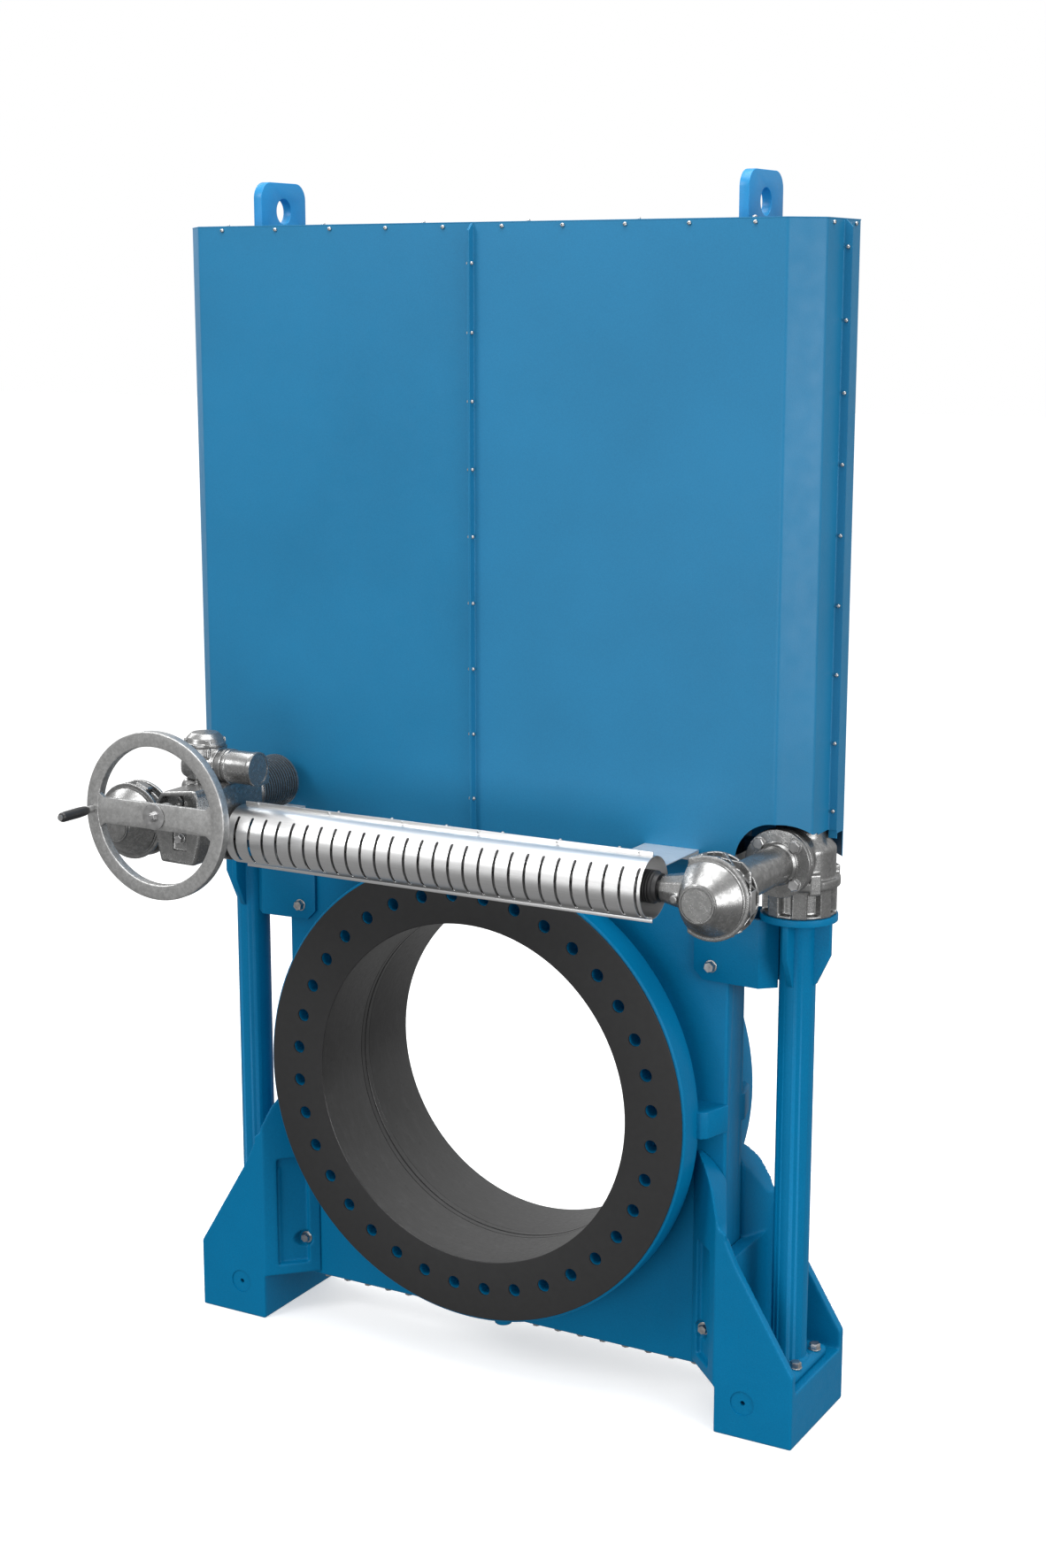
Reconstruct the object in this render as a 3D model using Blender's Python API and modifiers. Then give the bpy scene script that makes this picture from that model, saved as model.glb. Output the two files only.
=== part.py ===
"""Knife gate valve for a 42 inch pipe: body, sleeves, gate, stems, gearboxes, actuator and gate housing.

Metres, +Z up. Every piece is placed from valve_datum, the point on the pipe's axis midway
between the two sleeve faces. +X runs along the cross shaft and +Y runs from the handwheel
side to the rear. The valve is drawn fully open.
"""

from math import cos, pi, radians, sin

import bmesh
import bpy
from mathutils import Matrix, Vector

# ---- driving dimensions (metres) ----
GAP = 0.0003  # between pieces that touch

BORE_HEIGHT = 0.939  # pipe axis above the floor
DATUM_Y = 0.3825  # puts the middle of the valve's depth on the origin
BORE_R = 0.539
FACE_TO_FACE = 0.504
SLEEVE_FLANGE_R = 0.727
SLEEVE_FLANGE_T = 0.0067
SLEEVE_WALL = 0.0255
FLANGE_R = 0.735
FLANGE_T = 0.095
NECK_R = 0.665
BOLT_COUNT = 36
BOLT_CIRCLE_R = 0.62865
BOLT_HOLE_R = 0.02065
BOLT_HOLE_DEPTH = 0.065
RING_STEPS = 36
ROUND_STEPS = 16
HOLE_SIDES = 6

SLAB_HALF_X = 0.782
SLAB_HALF_Y = 0.064
SLAB_LOW = -0.805
SLAB_TOP = 0.800
POCKET_HALF_X = 0.632
POCKET_HALF_Y = 0.0215
POCKET_LOW = -0.640

GATE_HALF_X = 0.625
GATE_HALF_Y = 0.020
GATE_LOW = 0.600  # bottom of the round edge, just above the bore
GATE_TOP = 2.450
CROSSHEAD_LOW = 2.420
CROSSHEAD_TOP = 2.500
CROSSHEAD_HALF_X = 1.035
CROSSHEAD_HALF_Y = 0.045

STEM_X = 0.975
STEM_R = 0.030
STEM_LOW = 0.600
STEM_TOP = 2.550
COLUMN_R = 0.054
COLUMN_WALL = 0.012
COLUMN_LOW = -0.735
COLUMN_TOP = 0.630
COLUMN_PLATE_T = 0.020
COLUMN_PLATE_R = 0.1135

FOOT_LOW = -BORE_HEIGHT
FOOT_INNER_X = 0.820
FOOT_OUTER_X = 1.073
FOOT_HALF_Y = 0.202
FOOT_WEB_T = 0.028
FOOT_LEDGE = -0.755

SHAFT_Z = 0.829  # cross shaft and bevel shafts
SHAFT_Y = -0.580  # cross shaft
CROSS_SHAFT_R = 0.022
BEVEL_SHAFT_R = 0.020
TUBE_END = -0.155  # joint between the output tubes and the column gearboxes
TUBE_BORE_R = 0.045
TUBE_FLANGE_R = 0.100
WORM_X = -0.690
WORM_Z = 0.920
CONTROLS_X = -0.705
CONTROLS_Y = -0.597
WHEEL_R = 0.250
WHEEL_RIM_W = 0.044
WHEEL_RIM_T = 0.030
WHEEL_FRONT = -0.871
STUD_R = 0.009  # the worm shaft's threaded front end
GUARD_X = (-0.585, 0.788)

BOX_HALF_Y = 0.202
BOX_FLAT_X = 0.977
BOX_HALF_X = 1.060
BOX_CHAMFER_Y = 0.120
BOX_LOW = 0.800
BOX_TOP = 2.613
SHEET = 0.003
SEAM = 0.025
SIDE_NOTCH_TOP = {"front": 0.905, "rear": 0.880}  # the panels stop here beside the gearboxes
COVER_R = 0.118  # flange of the corner and column gearboxes

YOKE_X = (0.663, 0.830)
POST_X = (0.700, 0.770)
POST_Y = (0.060, 0.115)
BEAM_LOW = 2.560
BEAM_TOP = 2.585
LUG_X = (0.796, 0.826)
LUG_HALF_Y = 0.118
LUG_TOP = 2.747
LUG_HOLE_Z = 2.661
LUG_HOLE_R = 0.038

# ---- finishes: linear colour, metallic, roughness ----
BLUE_CASTING = ((0.008, 0.150, 0.330), 0.0, 0.45)
BLUE_SHEET = ((0.020, 0.190, 0.380), 0.0, 0.35)
GREY_CASTING = ((0.260, 0.260, 0.255), 0.7, 0.45)
STAINLESS = ((0.700, 0.700, 0.710), 1.0, 0.25)
STEEL = ((0.420, 0.420, 0.430), 1.0, 0.35)
BRONZE = ((0.450, 0.270, 0.090), 1.0, 0.35)
RUBBER = ((0.030, 0.030, 0.032), 0.0, 0.75)
BLACK_PLASTIC = ((0.012, 0.012, 0.013), 0.0, 0.45)

SIDES = (("left", -1), ("right", 1))
FACES = (("front", -1), ("rear", 1))

# ---- scene, collections and helpers ----
for old in list(bpy.data.objects):
    bpy.data.objects.remove(old, do_unlink=True)

parts = bpy.data.collections.new("knife_gate_valve")
cutters = bpy.data.collections.new("cutters")
bpy.context.scene.collection.children.link(parts)
bpy.context.scene.collection.children.link(cutters)
cutters.hide_render = True

datum = bpy.data.objects.new("valve_datum", None)
datum.location = (0, DATUM_Y, BORE_HEIGHT)
parts.objects.link(datum)

# turns a piece's own Z onto the named axis
TURN = {
    "X": Matrix.Rotation(pi / 2, 4, "Y"),
    "Y": Matrix.Rotation(-pi / 2, 4, "X"),
    "Z": Matrix.Identity(4),
}


def material_for(name, finish):
    colour, metallic, roughness = finish
    material = bpy.data.materials.new(name)
    material.use_nodes = True
    shader = material.node_tree.nodes["Principled BSDF"]
    shader.inputs["Base Color"].default_value = (*colour, 1)
    shader.inputs["Metallic"].default_value = metallic
    shader.inputs["Roughness"].default_value = roughness
    return material


def place(obj, matrix, finish=None):
    """Put an object in the valve's frame, as a part with a finish or as a hidden cutter."""
    obj.parent = datum
    obj.matrix_local = matrix
    if finish is None:
        cutters.objects.link(obj)
        obj.hide_render = True
        obj.display_type = "WIRE"
    else:
        parts.objects.link(obj)
        obj.data.materials.append(material_for(obj.name, finish))
    return obj


def mesh_object(name, bm):
    bmesh.ops.recalc_face_normals(bm, faces=bm.faces)
    mesh = bpy.data.meshes.new(name)
    bm.to_mesh(mesh)
    bm.free()
    return bpy.data.objects.new(name, mesh)


def box(name, low, high, finish=None):
    """A box between two corners; its origin is at its middle."""
    size = [b - a for a, b in zip(low, high)]
    middle = [(a + b) / 2 for a, b in zip(low, high)]
    bm = bmesh.new()
    bmesh.ops.create_cube(bm, size=1)
    bmesh.ops.scale(bm, vec=size, verts=bm.verts)
    return place(mesh_object(name, bm), Matrix.Translation(middle), finish)


def rod(name, centre, axis, r, length, finish=None, sides=ROUND_STEPS):
    """A cylinder with its middle at centre."""
    bm = bmesh.new()
    bmesh.ops.create_cone(bm, cap_ends=True, segments=sides, radius1=r, radius2=r, depth=length)
    return place(mesh_object(name, bm), Matrix.Translation(centre) @ TURN[axis], finish)


def rod_between(name, axis_at, ends, r, finish=None):
    """A cylinder between two points of an axis; axis_at holds None on the axis it runs along."""
    k = axis_at.index(None)
    centre = list(axis_at)
    centre[k] = (ends[0] + ends[1]) / 2
    return rod(name, centre, "XYZ"[k], r, abs(ends[1] - ends[0]), finish)


def turned(name, centre, axis, outer, inner=None, finish=None, steps=ROUND_STEPS):
    """A turned piece: outer and inner are (radius, distance along the axis), from low to high."""
    profile = list(reversed(outer))
    if inner is None:
        profile = [(0, outer[-1][1])] + profile + [(0, outer[0][1])]
    else:
        profile = profile + list(inner)
    bm = bmesh.new()
    points = [bm.verts.new((r, 0, s)) for r, s in profile]
    for a, b in zip(points, points[1:]):
        bm.edges.new((a, b))
    if inner is not None:
        bm.edges.new((points[-1], points[0]))
    mesh = bpy.data.meshes.new(name)
    bm.to_mesh(mesh)
    bm.free()
    obj = bpy.data.objects.new(name, mesh)
    screw = obj.modifiers.new("turn", "SCREW")
    screw.steps = screw.render_steps = steps
    screw.use_merge_vertices = True
    screw.merge_threshold = 1e-5
    return place(obj, Matrix.Translation(centre) @ TURN[axis], finish)


def outline_plate(name, points, axis, low, high, finish=None):
    """A flat outline given a thickness from low to high along axis.

    The outline's points are (x, y) for axis Z, (x, z) for axis Y and (y, z) for axis X.
    """
    curve = bpy.data.curves.new(name, "CURVE")
    curve.dimensions = "2D"
    curve.fill_mode = "BOTH"
    curve.extrude = (high - low) / 2
    spline = curve.splines.new("POLY")
    spline.points.add(len(points) - 1)
    for point, (u, v) in zip(spline.points, points):
        point.co = (u, v, 0, 1)
    spline.use_cyclic_u = True
    guide = bpy.data.objects.new(name + "_outline", curve)
    bpy.context.scene.collection.objects.link(guide)
    bpy.context.view_layer.update()
    graph = bpy.context.evaluated_depsgraph_get()
    mesh = bpy.data.meshes.new_from_object(guide.evaluated_get(graph))
    bpy.data.objects.remove(guide, do_unlink=True)
    bm = bmesh.new()
    bm.from_mesh(mesh)
    bmesh.ops.remove_doubles(bm, verts=bm.verts, dist=1e-6)
    bmesh.ops.recalc_face_normals(bm, faces=bm.faces)
    bm.to_mesh(mesh)
    bm.free()
    mesh.name = name
    middle = (low + high) / 2
    frames = {
        "Z": Matrix.Translation((0, 0, middle)),
        "Y": Matrix.Translation((0, middle, 0)) @ Matrix.Rotation(pi / 2, 4, "X"),
        "X": Matrix.Translation((middle, 0, 0))
        @ Matrix(((0, 0, 1, 0), (1, 0, 0, 0), (0, 1, 0, 0), (0, 0, 0, 1))),
    }
    return place(bpy.data.objects.new(name, mesh), frames[axis], finish)


def combine(obj, other, operation, solver="EXACT"):
    modifier = obj.modifiers.new(operation.lower() + "_" + other.name, "BOOLEAN")
    modifier.operation = operation
    modifier.solver = solver
    modifier.object = other
    return obj


def cut(obj, *others, solver="EXACT"):
    for other in others:
        combine(obj, other, "DIFFERENCE", solver)
    return obj


def join(obj, *others):
    for other in others:
        combine(obj, other, "UNION")
    return obj


def running_bore(r, steps=ROUND_STEPS):
    """The radius of a faceted hole in which a faceted shaft of radius r turns freely."""
    return (r + GAP) / cos(pi / steps)


def arc(centre, r, start, end, steps):
    """Points of an arc, angles in degrees."""
    angles = [radians(start + (end - start) * k / steps) for k in range(steps + 1)]
    return [(centre[0] + r * cos(a), centre[1] + r * sin(a)) for a in angles]


def mirrored(points, sign):
    """An outline reflected in its first coordinate when sign is -1."""
    return [(sign * u, v) for u, v in points]


def settle():
    """Bake each part's modifiers and shade its round faces smooth."""
    bpy.context.view_layer.update()
    graph = bpy.context.evaluated_depsgraph_get()
    made = {}
    for obj in parts.objects:
        if obj.type == "MESH":
            made[obj] = bpy.data.meshes.new_from_object(obj.evaluated_get(graph))
    for obj, mesh in made.items():
        obj.modifiers.clear()
        obj.data = mesh
        mesh.name = obj.name
        mesh.shade_smooth()
        mesh.set_sharp_from_angle(angle=radians(35))


# ---- body, sleeves and packing ----
def bolt_holes(name, low, high):
    """One cutter with a hole for each flange bolt, straddling the centre lines."""
    bm = bmesh.new()
    for k in range(BOLT_COUNT):
        angle = 2 * pi * (k + 0.5) / BOLT_COUNT
        at = Vector((BOLT_CIRCLE_R * cos(angle), BOLT_CIRCLE_R * sin(angle), 0))
        bmesh.ops.create_cone(
            bm,
            cap_ends=True,
            segments=HOLE_SIDES,
            radius1=BOLT_HOLE_R,
            radius2=BOLT_HOLE_R,
            depth=high - low,
            matrix=Matrix.Translation(at) @ Matrix.Rotation(angle, 4, "Z"),
        )
    return place(mesh_object(name, bm), Matrix.Translation((0, (low + high) / 2, 0)) @ TURN["Y"])


def along(sign, near, far):
    """Two Y values, nearest the middle plane first, as (low, high) on the given face's side."""
    return tuple(sorted((sign * near, sign * far)))


def body_halves():
    metal_face = FACE_TO_FACE / 2 - SLEEVE_FLANGE_T - GAP
    flange_back = metal_face - FLANGE_T
    recess = box("packing_recess", (-0.660, -0.040, 0.720), (0.660, 0.040, SLAB_TOP + 0.01))
    for face, sign in FACES:
        low, high = along(sign, GAP / 2, SLAB_HALF_Y)
        slab = box(
            "body_half_" + face,
            (-SLAB_HALF_X, low, SLAB_LOW),
            (SLAB_HALF_X, high, SLAB_TOP),
            BLUE_CASTING,
        )
        steps_out = [(NECK_R, SLAB_HALF_Y - 0.010), (NECK_R, flange_back)]
        steps_out += [(FLANGE_R, flange_back), (FLANGE_R, metal_face)]
        low_first = [(r, sign * s) for r, s in steps_out][::sign]
        ring = turned("flange_ring_" + face, (0, 0, 0), "Y", low_first, steps=RING_STEPS)
        rib_low, rib_high = along(sign, SLAB_HALF_Y - 0.010, 0.165)
        ribs = box("flange_ribs_" + face, (-0.790, rib_low, -0.040), (0.790, rib_high, 0.045))
        drain = rod("drain_boss_" + face, (0, sign * 0.034, SLAB_LOW - 0.005), "Z", 0.028, 0.050, sides=12)
        join(slab, ribs, ring, drain)
        bore_r = BORE_R + SLEEVE_WALL + GAP
        bore = rod("bore_" + face, (0, 0, 0), "Y", bore_r, FACE_TO_FACE + 0.1, sides=RING_STEPS)
        pocket = box(
            "gate_pocket_" + face,
            (-POCKET_HALF_X, -POCKET_HALF_Y, POCKET_LOW),
            (POCKET_HALF_X, POCKET_HALF_Y, SLAB_TOP + 0.02),
        )
        holes_low, holes_high = along(sign, metal_face - BOLT_HOLE_DEPTH, metal_face + 0.01)
        holes = bolt_holes("flange_holes_" + face, holes_low, holes_high)
        cut(slab, bore, pocket, recess, holes, solver="MANIFOLD")


def sleeves():
    face_y = FACE_TO_FACE / 2
    lip = POCKET_HALF_Y
    for face, sign in FACES:
        barrel_r = BORE_R + SLEEVE_WALL
        outer = [(barrel_r, lip), (barrel_r, face_y - SLEEVE_FLANGE_T)]
        outer += [(SLEEVE_FLANGE_R, face_y - SLEEVE_FLANGE_T), (SLEEVE_FLANGE_R, face_y)]
        inner = [(BORE_R, lip), (BORE_R, face_y)]
        outer = [(r, sign * s) for r, s in outer][::sign]
        inner = [(r, sign * s) for r, s in inner][::sign]
        sleeve = turned("sleeve_" + face, (0, 0, 0), "Y", outer, inner, RUBBER, RING_STEPS)
        low, high = along(sign, face_y - 0.05, face_y + 0.01)
        cut(sleeve, bolt_holes("sleeve_holes_" + face, low, high))
        low, high = along(sign, GAP / 2, lip - GAP)
        turned(
            "sleeve_lip_" + face,
            (0, 0, 0),
            "Y",
            [(barrel_r, low), (barrel_r, high)],
            [(BORE_R, low), (BORE_R, high)],
            RUBBER,
            RING_STEPS,
        )


def packing():
    slot = box("packing_slot", (-0.6255, -0.0203, 0.70), (0.6255, 0.0203, 0.90))
    seal = box("gate_packing", (-0.6597, -0.0397, 0.7203), (0.6597, 0.0397, 0.7997), RUBBER)
    gland = box("packing_gland", (-0.650, -0.058, SLAB_TOP + GAP), (0.650, 0.058, 0.840), STEEL)
    cut(seal, slot)
    cut(gland, slot)


# ---- feet, columns and brackets ----
def feet():
    web_back = FOOT_HALF_Y - FOOT_WEB_T
    web = [
        (FOOT_INNER_X, FOOT_LEDGE - 0.02),
        (FOOT_OUTER_X, FOOT_LEDGE - 0.02),
        (FOOT_OUTER_X, -0.710),
        (0.885, -0.400),
        (0.852, -0.330),
        (FOOT_INNER_X, -0.290),
    ]
    wing_plan = [
        (0.683, SLAB_HALF_Y + GAP),
        (0.683, 0.068),
        (0.817, FOOT_HALF_Y),
        (FOOT_INNER_X + 0.03, FOOT_HALF_Y),
        (FOOT_INNER_X + 0.03, FOOT_HALF_Y - 0.008),
        (0.722, SLAB_HALF_Y + GAP),
    ]
    wing_side = [(0.66, -0.790), (0.90, -0.790), (0.90, -0.345), (FOOT_INNER_X + 0.01, -0.290)]
    wing_side += arc((0.600, -0.300), 0.220, 25, 62, 4)
    wing_side += [(0.66, -0.110)]
    for side, sign in SIDES:
        foot = box(
            "foot_" + side,
            (min(sign * FOOT_INNER_X, sign * FOOT_OUTER_X), -FOOT_HALF_Y, FOOT_LOW),
            (max(sign * FOOT_INNER_X, sign * FOOT_OUTER_X), FOOT_HALF_Y, FOOT_LEDGE),
            BLUE_CASTING,
        )
        inner_x = sorted((sign * (SLAB_HALF_X + 0.004), sign * (FOOT_INNER_X + 0.004)))
        wall = box(
            "foot_wall_" + side,
            (inner_x[0], -FOOT_HALF_Y + 0.012, FOOT_LOW + 0.149),
            (inner_x[1], FOOT_HALF_Y - 0.012, -0.420),
        )
        join(foot, wall)
        for face, turn in FACES:
            low, high = along(turn, web_back, FOOT_HALF_Y)
            label = side + "_" + face
            plate = outline_plate("foot_web_" + label, mirrored(web, sign), "Y", low, high)
            plan = [(sign * u, turn * v) for u, v in wing_plan]
            wing = outline_plate("foot_wing_" + label, plan, "Z", -0.790, -0.110)
            trim = outline_plate("foot_wing_trim_" + label, mirrored(wing_side, sign), "Y", -0.30, 0.30)
            combine(wing, trim, "INTERSECT")
            join(foot, plate, wing)


def columns():
    pipe_inner = COLUMN_R - COLUMN_WALL
    for side, sign in SIDES:
        x = sign * STEM_X
        column = turned(
            "column_" + side,
            (x, 0, 0),
            "Z",
            [
                (COLUMN_R, COLUMN_LOW - 0.010),
                (COLUMN_R, COLUMN_TOP),
                (COLUMN_PLATE_R, COLUMN_TOP),
                (COLUMN_PLATE_R, COLUMN_TOP + COLUMN_PLATE_T),
            ],
            [(pipe_inner, COLUMN_LOW - 0.010), (pipe_inner, COLUMN_TOP + COLUMN_PLATE_T)],
            BLUE_CASTING,
        )
        base = box(
            "column_base_" + side,
            (x - 0.090, -0.140, FOOT_LEDGE + GAP),
            (x + 0.090, 0.140, COLUMN_LOW),
        )
        bore = rod("column_base_bore_" + side, (x, 0, FOOT_LEDGE), "Z", pipe_inner, 0.2)
        cut(base, bore)
        join(column, base)
        gusset = [(0.049, 0.430), (0.060, 0.440), (0.102, 0.530), (0.102, 0.640), (0.049, 0.640)]
        for label, turn in FACES:
            across = [(x + turn * u, v) for u, v in gusset]
            deep = [(turn * u, v) for u, v in gusset]
            join(
                column,
                outline_plate("gusset_x_" + side + label, across, "Y", -0.009, 0.009),
                outline_plate("gusset_y_" + side + label, deep, "X", x - 0.009, x + 0.009),
            )


def bracket_plates():
    """Plates bolted to the body faces and bent at 45 degrees towards the columns."""
    thick = 0.0127
    inner = SLAB_HALF_Y + GAP
    plan = [
        (0.675, inner),
        (0.675, inner + thick),
        (0.8835, inner + thick),
        (0.9280, inner + thick - 0.0445),
        (0.9190, inner + thick - 0.0535),
        (0.8782, inner),
    ]
    front_view = [(0.60, 0.70), (0.60, 0.455), (0.675, 0.455), (0.705, 0.425), (0.95, 0.420), (0.95, 0.70)]
    for face, turn in FACES:
        for side, sign in SIDES:
            label = face + "_" + side
            outline = [(sign * u, turn * v) for u, v in plan]
            top = COLUMN_TOP - 0.0005
            plate = outline_plate("bracket_plate_" + label, outline, "Z", 0.400, top, BLUE_CASTING)
            trim = outline_plate("bracket_trim_" + label, mirrored(front_view, sign), "Y", -0.2, 0.2)
            combine(plate, trim, "INTERSECT")


# ---- gate, crosshead and stems (they move together) ----
def gate_train():
    outline = arc((0, GATE_LOW + GATE_HALF_X), GATE_HALF_X, 180, 360, 28)
    outline += [(GATE_HALF_X, GATE_TOP), (-GATE_HALF_X, GATE_TOP)]
    outline_plate("gate", outline, "Y", -GATE_HALF_Y, GATE_HALF_Y, STAINLESS)
    beam = box(
        "crosshead",
        (-CROSSHEAD_HALF_X, -CROSSHEAD_HALF_Y, CROSSHEAD_LOW),
        (CROSSHEAD_HALF_X, CROSSHEAD_HALF_Y, CROSSHEAD_TOP),
        STEEL,
    )
    slot = box(
        "gate_slot",
        (-GATE_HALF_X - GAP, -GATE_HALF_Y - GAP, CROSSHEAD_LOW - 0.01),
        (GATE_HALF_X + GAP, GATE_HALF_Y + GAP, GATE_TOP + GAP),
    )
    cut(beam, slot)
    for side, sign in SIDES:
        x = sign * STEM_X
        middle = (CROSSHEAD_LOW + CROSSHEAD_TOP) / 2
        cut(beam, rod("stem_eye_" + side, (x, 0, middle), "Z", STEM_R + GAP, 0.2))
        collar = CROSSHEAD_LOW - 0.030
        turned(
            "stem_" + side,
            (x, 0, 0),
            "Z",
            [
                (STEM_R - 0.004, STEM_LOW),
                (STEM_R, STEM_LOW + 0.006),
                (STEM_R, collar),
                (0.044, collar),
                (0.044, CROSSHEAD_LOW - GAP),
                (STEM_R, CROSSHEAD_LOW - GAP),
                (STEM_R, STEM_TOP - 0.003),
                (STEM_R - 0.003, STEM_TOP),
            ],
            finish=STEEL,
        )


# ---- gears and shafts ----
def stem_nuts():
    """Bronze stem nuts, each with its bevel wheel, turning round the stems."""
    low, top = 0.668, SHAFT_Z - 0.0255
    wheel_r = 0.0755
    bore = running_bore(STEM_R)
    for side, sign in SIDES:
        turned(
            "stem_nut_" + side,
            (sign * STEM_X, 0, 0),
            "Z",
            [
                (0.0435, low),
                (0.0435, SHAFT_Z - 0.065),
                (wheel_r, SHAFT_Z - 0.050),
                (wheel_r, SHAFT_Z - 0.0383),
                (0.0500, top),
            ],
            [(bore, low), (bore, top)],
            BRONZE,
        )


def bevel_shafts():
    """Shafts from the corner gearboxes back to the column gearboxes, with a bevel at each end."""
    for side, sign in SIDES:
        turned(
            "bevel_shaft_" + side,
            (sign * STEM_X, 0, SHAFT_Z),
            "Y",
            [
                (0.0300, SHAFT_Y + 0.0305),
                (0.0440, SHAFT_Y + 0.0445),
                (0.0440, SHAFT_Y + 0.0500),
                (BEVEL_SHAFT_R, SHAFT_Y + 0.0600),
                (BEVEL_SHAFT_R, -0.100),
                (0.0372, -0.086),
                (0.0372, -0.0755),
                (0.0245, -0.0500),
            ],
            finish=STEEL,
        )


def cross_shaft():
    """The shaft between the corner gearboxes: bevel pinions at its ends, worm wheel on the left."""
    end = STEM_X - 0.0305
    pinion = [(CROSS_SHAFT_R, end - 0.0300), (0.0440, end - 0.0195), (0.0440, end - 0.0140), (0.0300, end)]
    wheel_r, wheel_half = 0.064, 0.014
    profile = [(r, -x) for r, x in reversed(pinion)]
    profile += [
        (CROSS_SHAFT_R, WORM_X - wheel_half),
        (wheel_r, WORM_X - wheel_half),
        (wheel_r, WORM_X + wheel_half),
        (CROSS_SHAFT_R, WORM_X + wheel_half),
    ]
    profile += pinion
    turned("cross_shaft", (0, SHAFT_Y, SHAFT_Z), "X", profile, finish=STEEL)
    bore = CROSS_SHAFT_R + GAP
    near, far = 0.752, 0.810
    sleeve = [(0.040, near), (0.046, near + 0.006), (0.046, far - 0.026), (0.040, far - 0.020)]
    hub = [(0.030, far - 0.018), (0.030, far)]
    turned("shaft_coupling", (0, SHAFT_Y, SHAFT_Z), "X", sleeve + hub, [(bore, near), (bore, far)], RUBBER)


def worm_shaft():
    """Worm in the middle, motor rotor at the rear and the handwheel's seat at the front."""
    shaft_r, worm_r, rotor_r, end_r = 0.016, 0.0255, 0.046, 0.014
    rotor = (-0.420, -0.290)
    turned(
        "worm_shaft",
        (WORM_X, 0, WORM_Z),
        "Y",
        [
            (STUD_R, WHEEL_FRONT - 0.022),
            (STUD_R, WHEEL_FRONT + 0.040),
            (shaft_r, WHEEL_FRONT + 0.040),
            (shaft_r, SHAFT_Y - 0.050),
            (worm_r, SHAFT_Y - 0.046),
            (worm_r, SHAFT_Y + 0.046),
            (shaft_r, SHAFT_Y + 0.050),
            (shaft_r, rotor[0]),
            (rotor_r, rotor[0]),
            (rotor_r, rotor[1]),
            (end_r, rotor[1]),
            (end_r, rotor[1] + 0.028),
        ],
        finish=STEEL,
    )


# ---- gearbox housings ----
def column_gearboxes():
    """Housings of the stem nuts, on the columns' top plates, each with a nozzle to the front."""
    base = COLUMN_TOP + COLUMN_PLATE_T + GAP
    drum_r, flange_low, flange_top = 0.105, 0.737, 0.763
    elbow_top = 0.850
    outer = [
        (drum_r, base),
        (drum_r, flange_low - 0.002),
        (COVER_R, flange_low),
        (COVER_R, flange_top),
        (drum_r, flange_top + 0.005),
        (drum_r, elbow_top),
        (0.081, elbow_top + 0.028),
        (0.074, 0.905),
        (0.046, 0.950),
    ]
    room_r, nut_r, neck_r = 0.084, 0.046, 0.034
    room = [
        (nut_r, base - 0.01),
        (nut_r, 0.664),
        (room_r, 0.664),
        (room_r, elbow_top),
        (0.066, 0.898),
        (neck_r, 0.945),
        (neck_r, 0.960),
    ]
    for side, sign in SIDES:
        x = sign * STEM_X
        housing = turned("column_gearbox_" + side, (x, 0, 0), "Z", outer, None, GREY_CASTING)
        nozzle = turned(
            "nozzle_" + side,
            (x, 0, SHAFT_Z),
            "Y",
            [
                (TUBE_FLANGE_R, TUBE_END + GAP),
                (TUBE_FLANGE_R, TUBE_END + 0.023),
                (0.066, TUBE_END + 0.027),
                (0.060, -0.030),
            ],
        )
        throat = rod("nozzle_throat_" + side, (x, -0.110, SHAFT_Z), "Y", TUBE_BORE_R, 0.12)
        join(housing, nozzle)
        cut(housing, turned("stem_nut_room_" + side, (x, 0, 0), "Z", room), throat)


def output_tubes():
    """Tubes over the bevel shafts, from the corner gearboxes to the column gearboxes."""
    front = -0.4997
    outer_r, flange_front = 0.055, TUBE_END - 0.017
    for side, sign in SIDES:
        turned(
            "output_tube_" + side,
            (sign * STEM_X, 0, SHAFT_Z),
            "Y",
            [
                (outer_r, front),
                (outer_r, flange_front - 0.008),
                (outer_r + 0.005, flange_front),
                (TUBE_FLANGE_R, flange_front),
                (TUBE_FLANGE_R, TUBE_END),
            ],
            [(TUBE_BORE_R, front), (TUBE_BORE_R, TUBE_END)],
            GREY_CASTING,
        )


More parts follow.
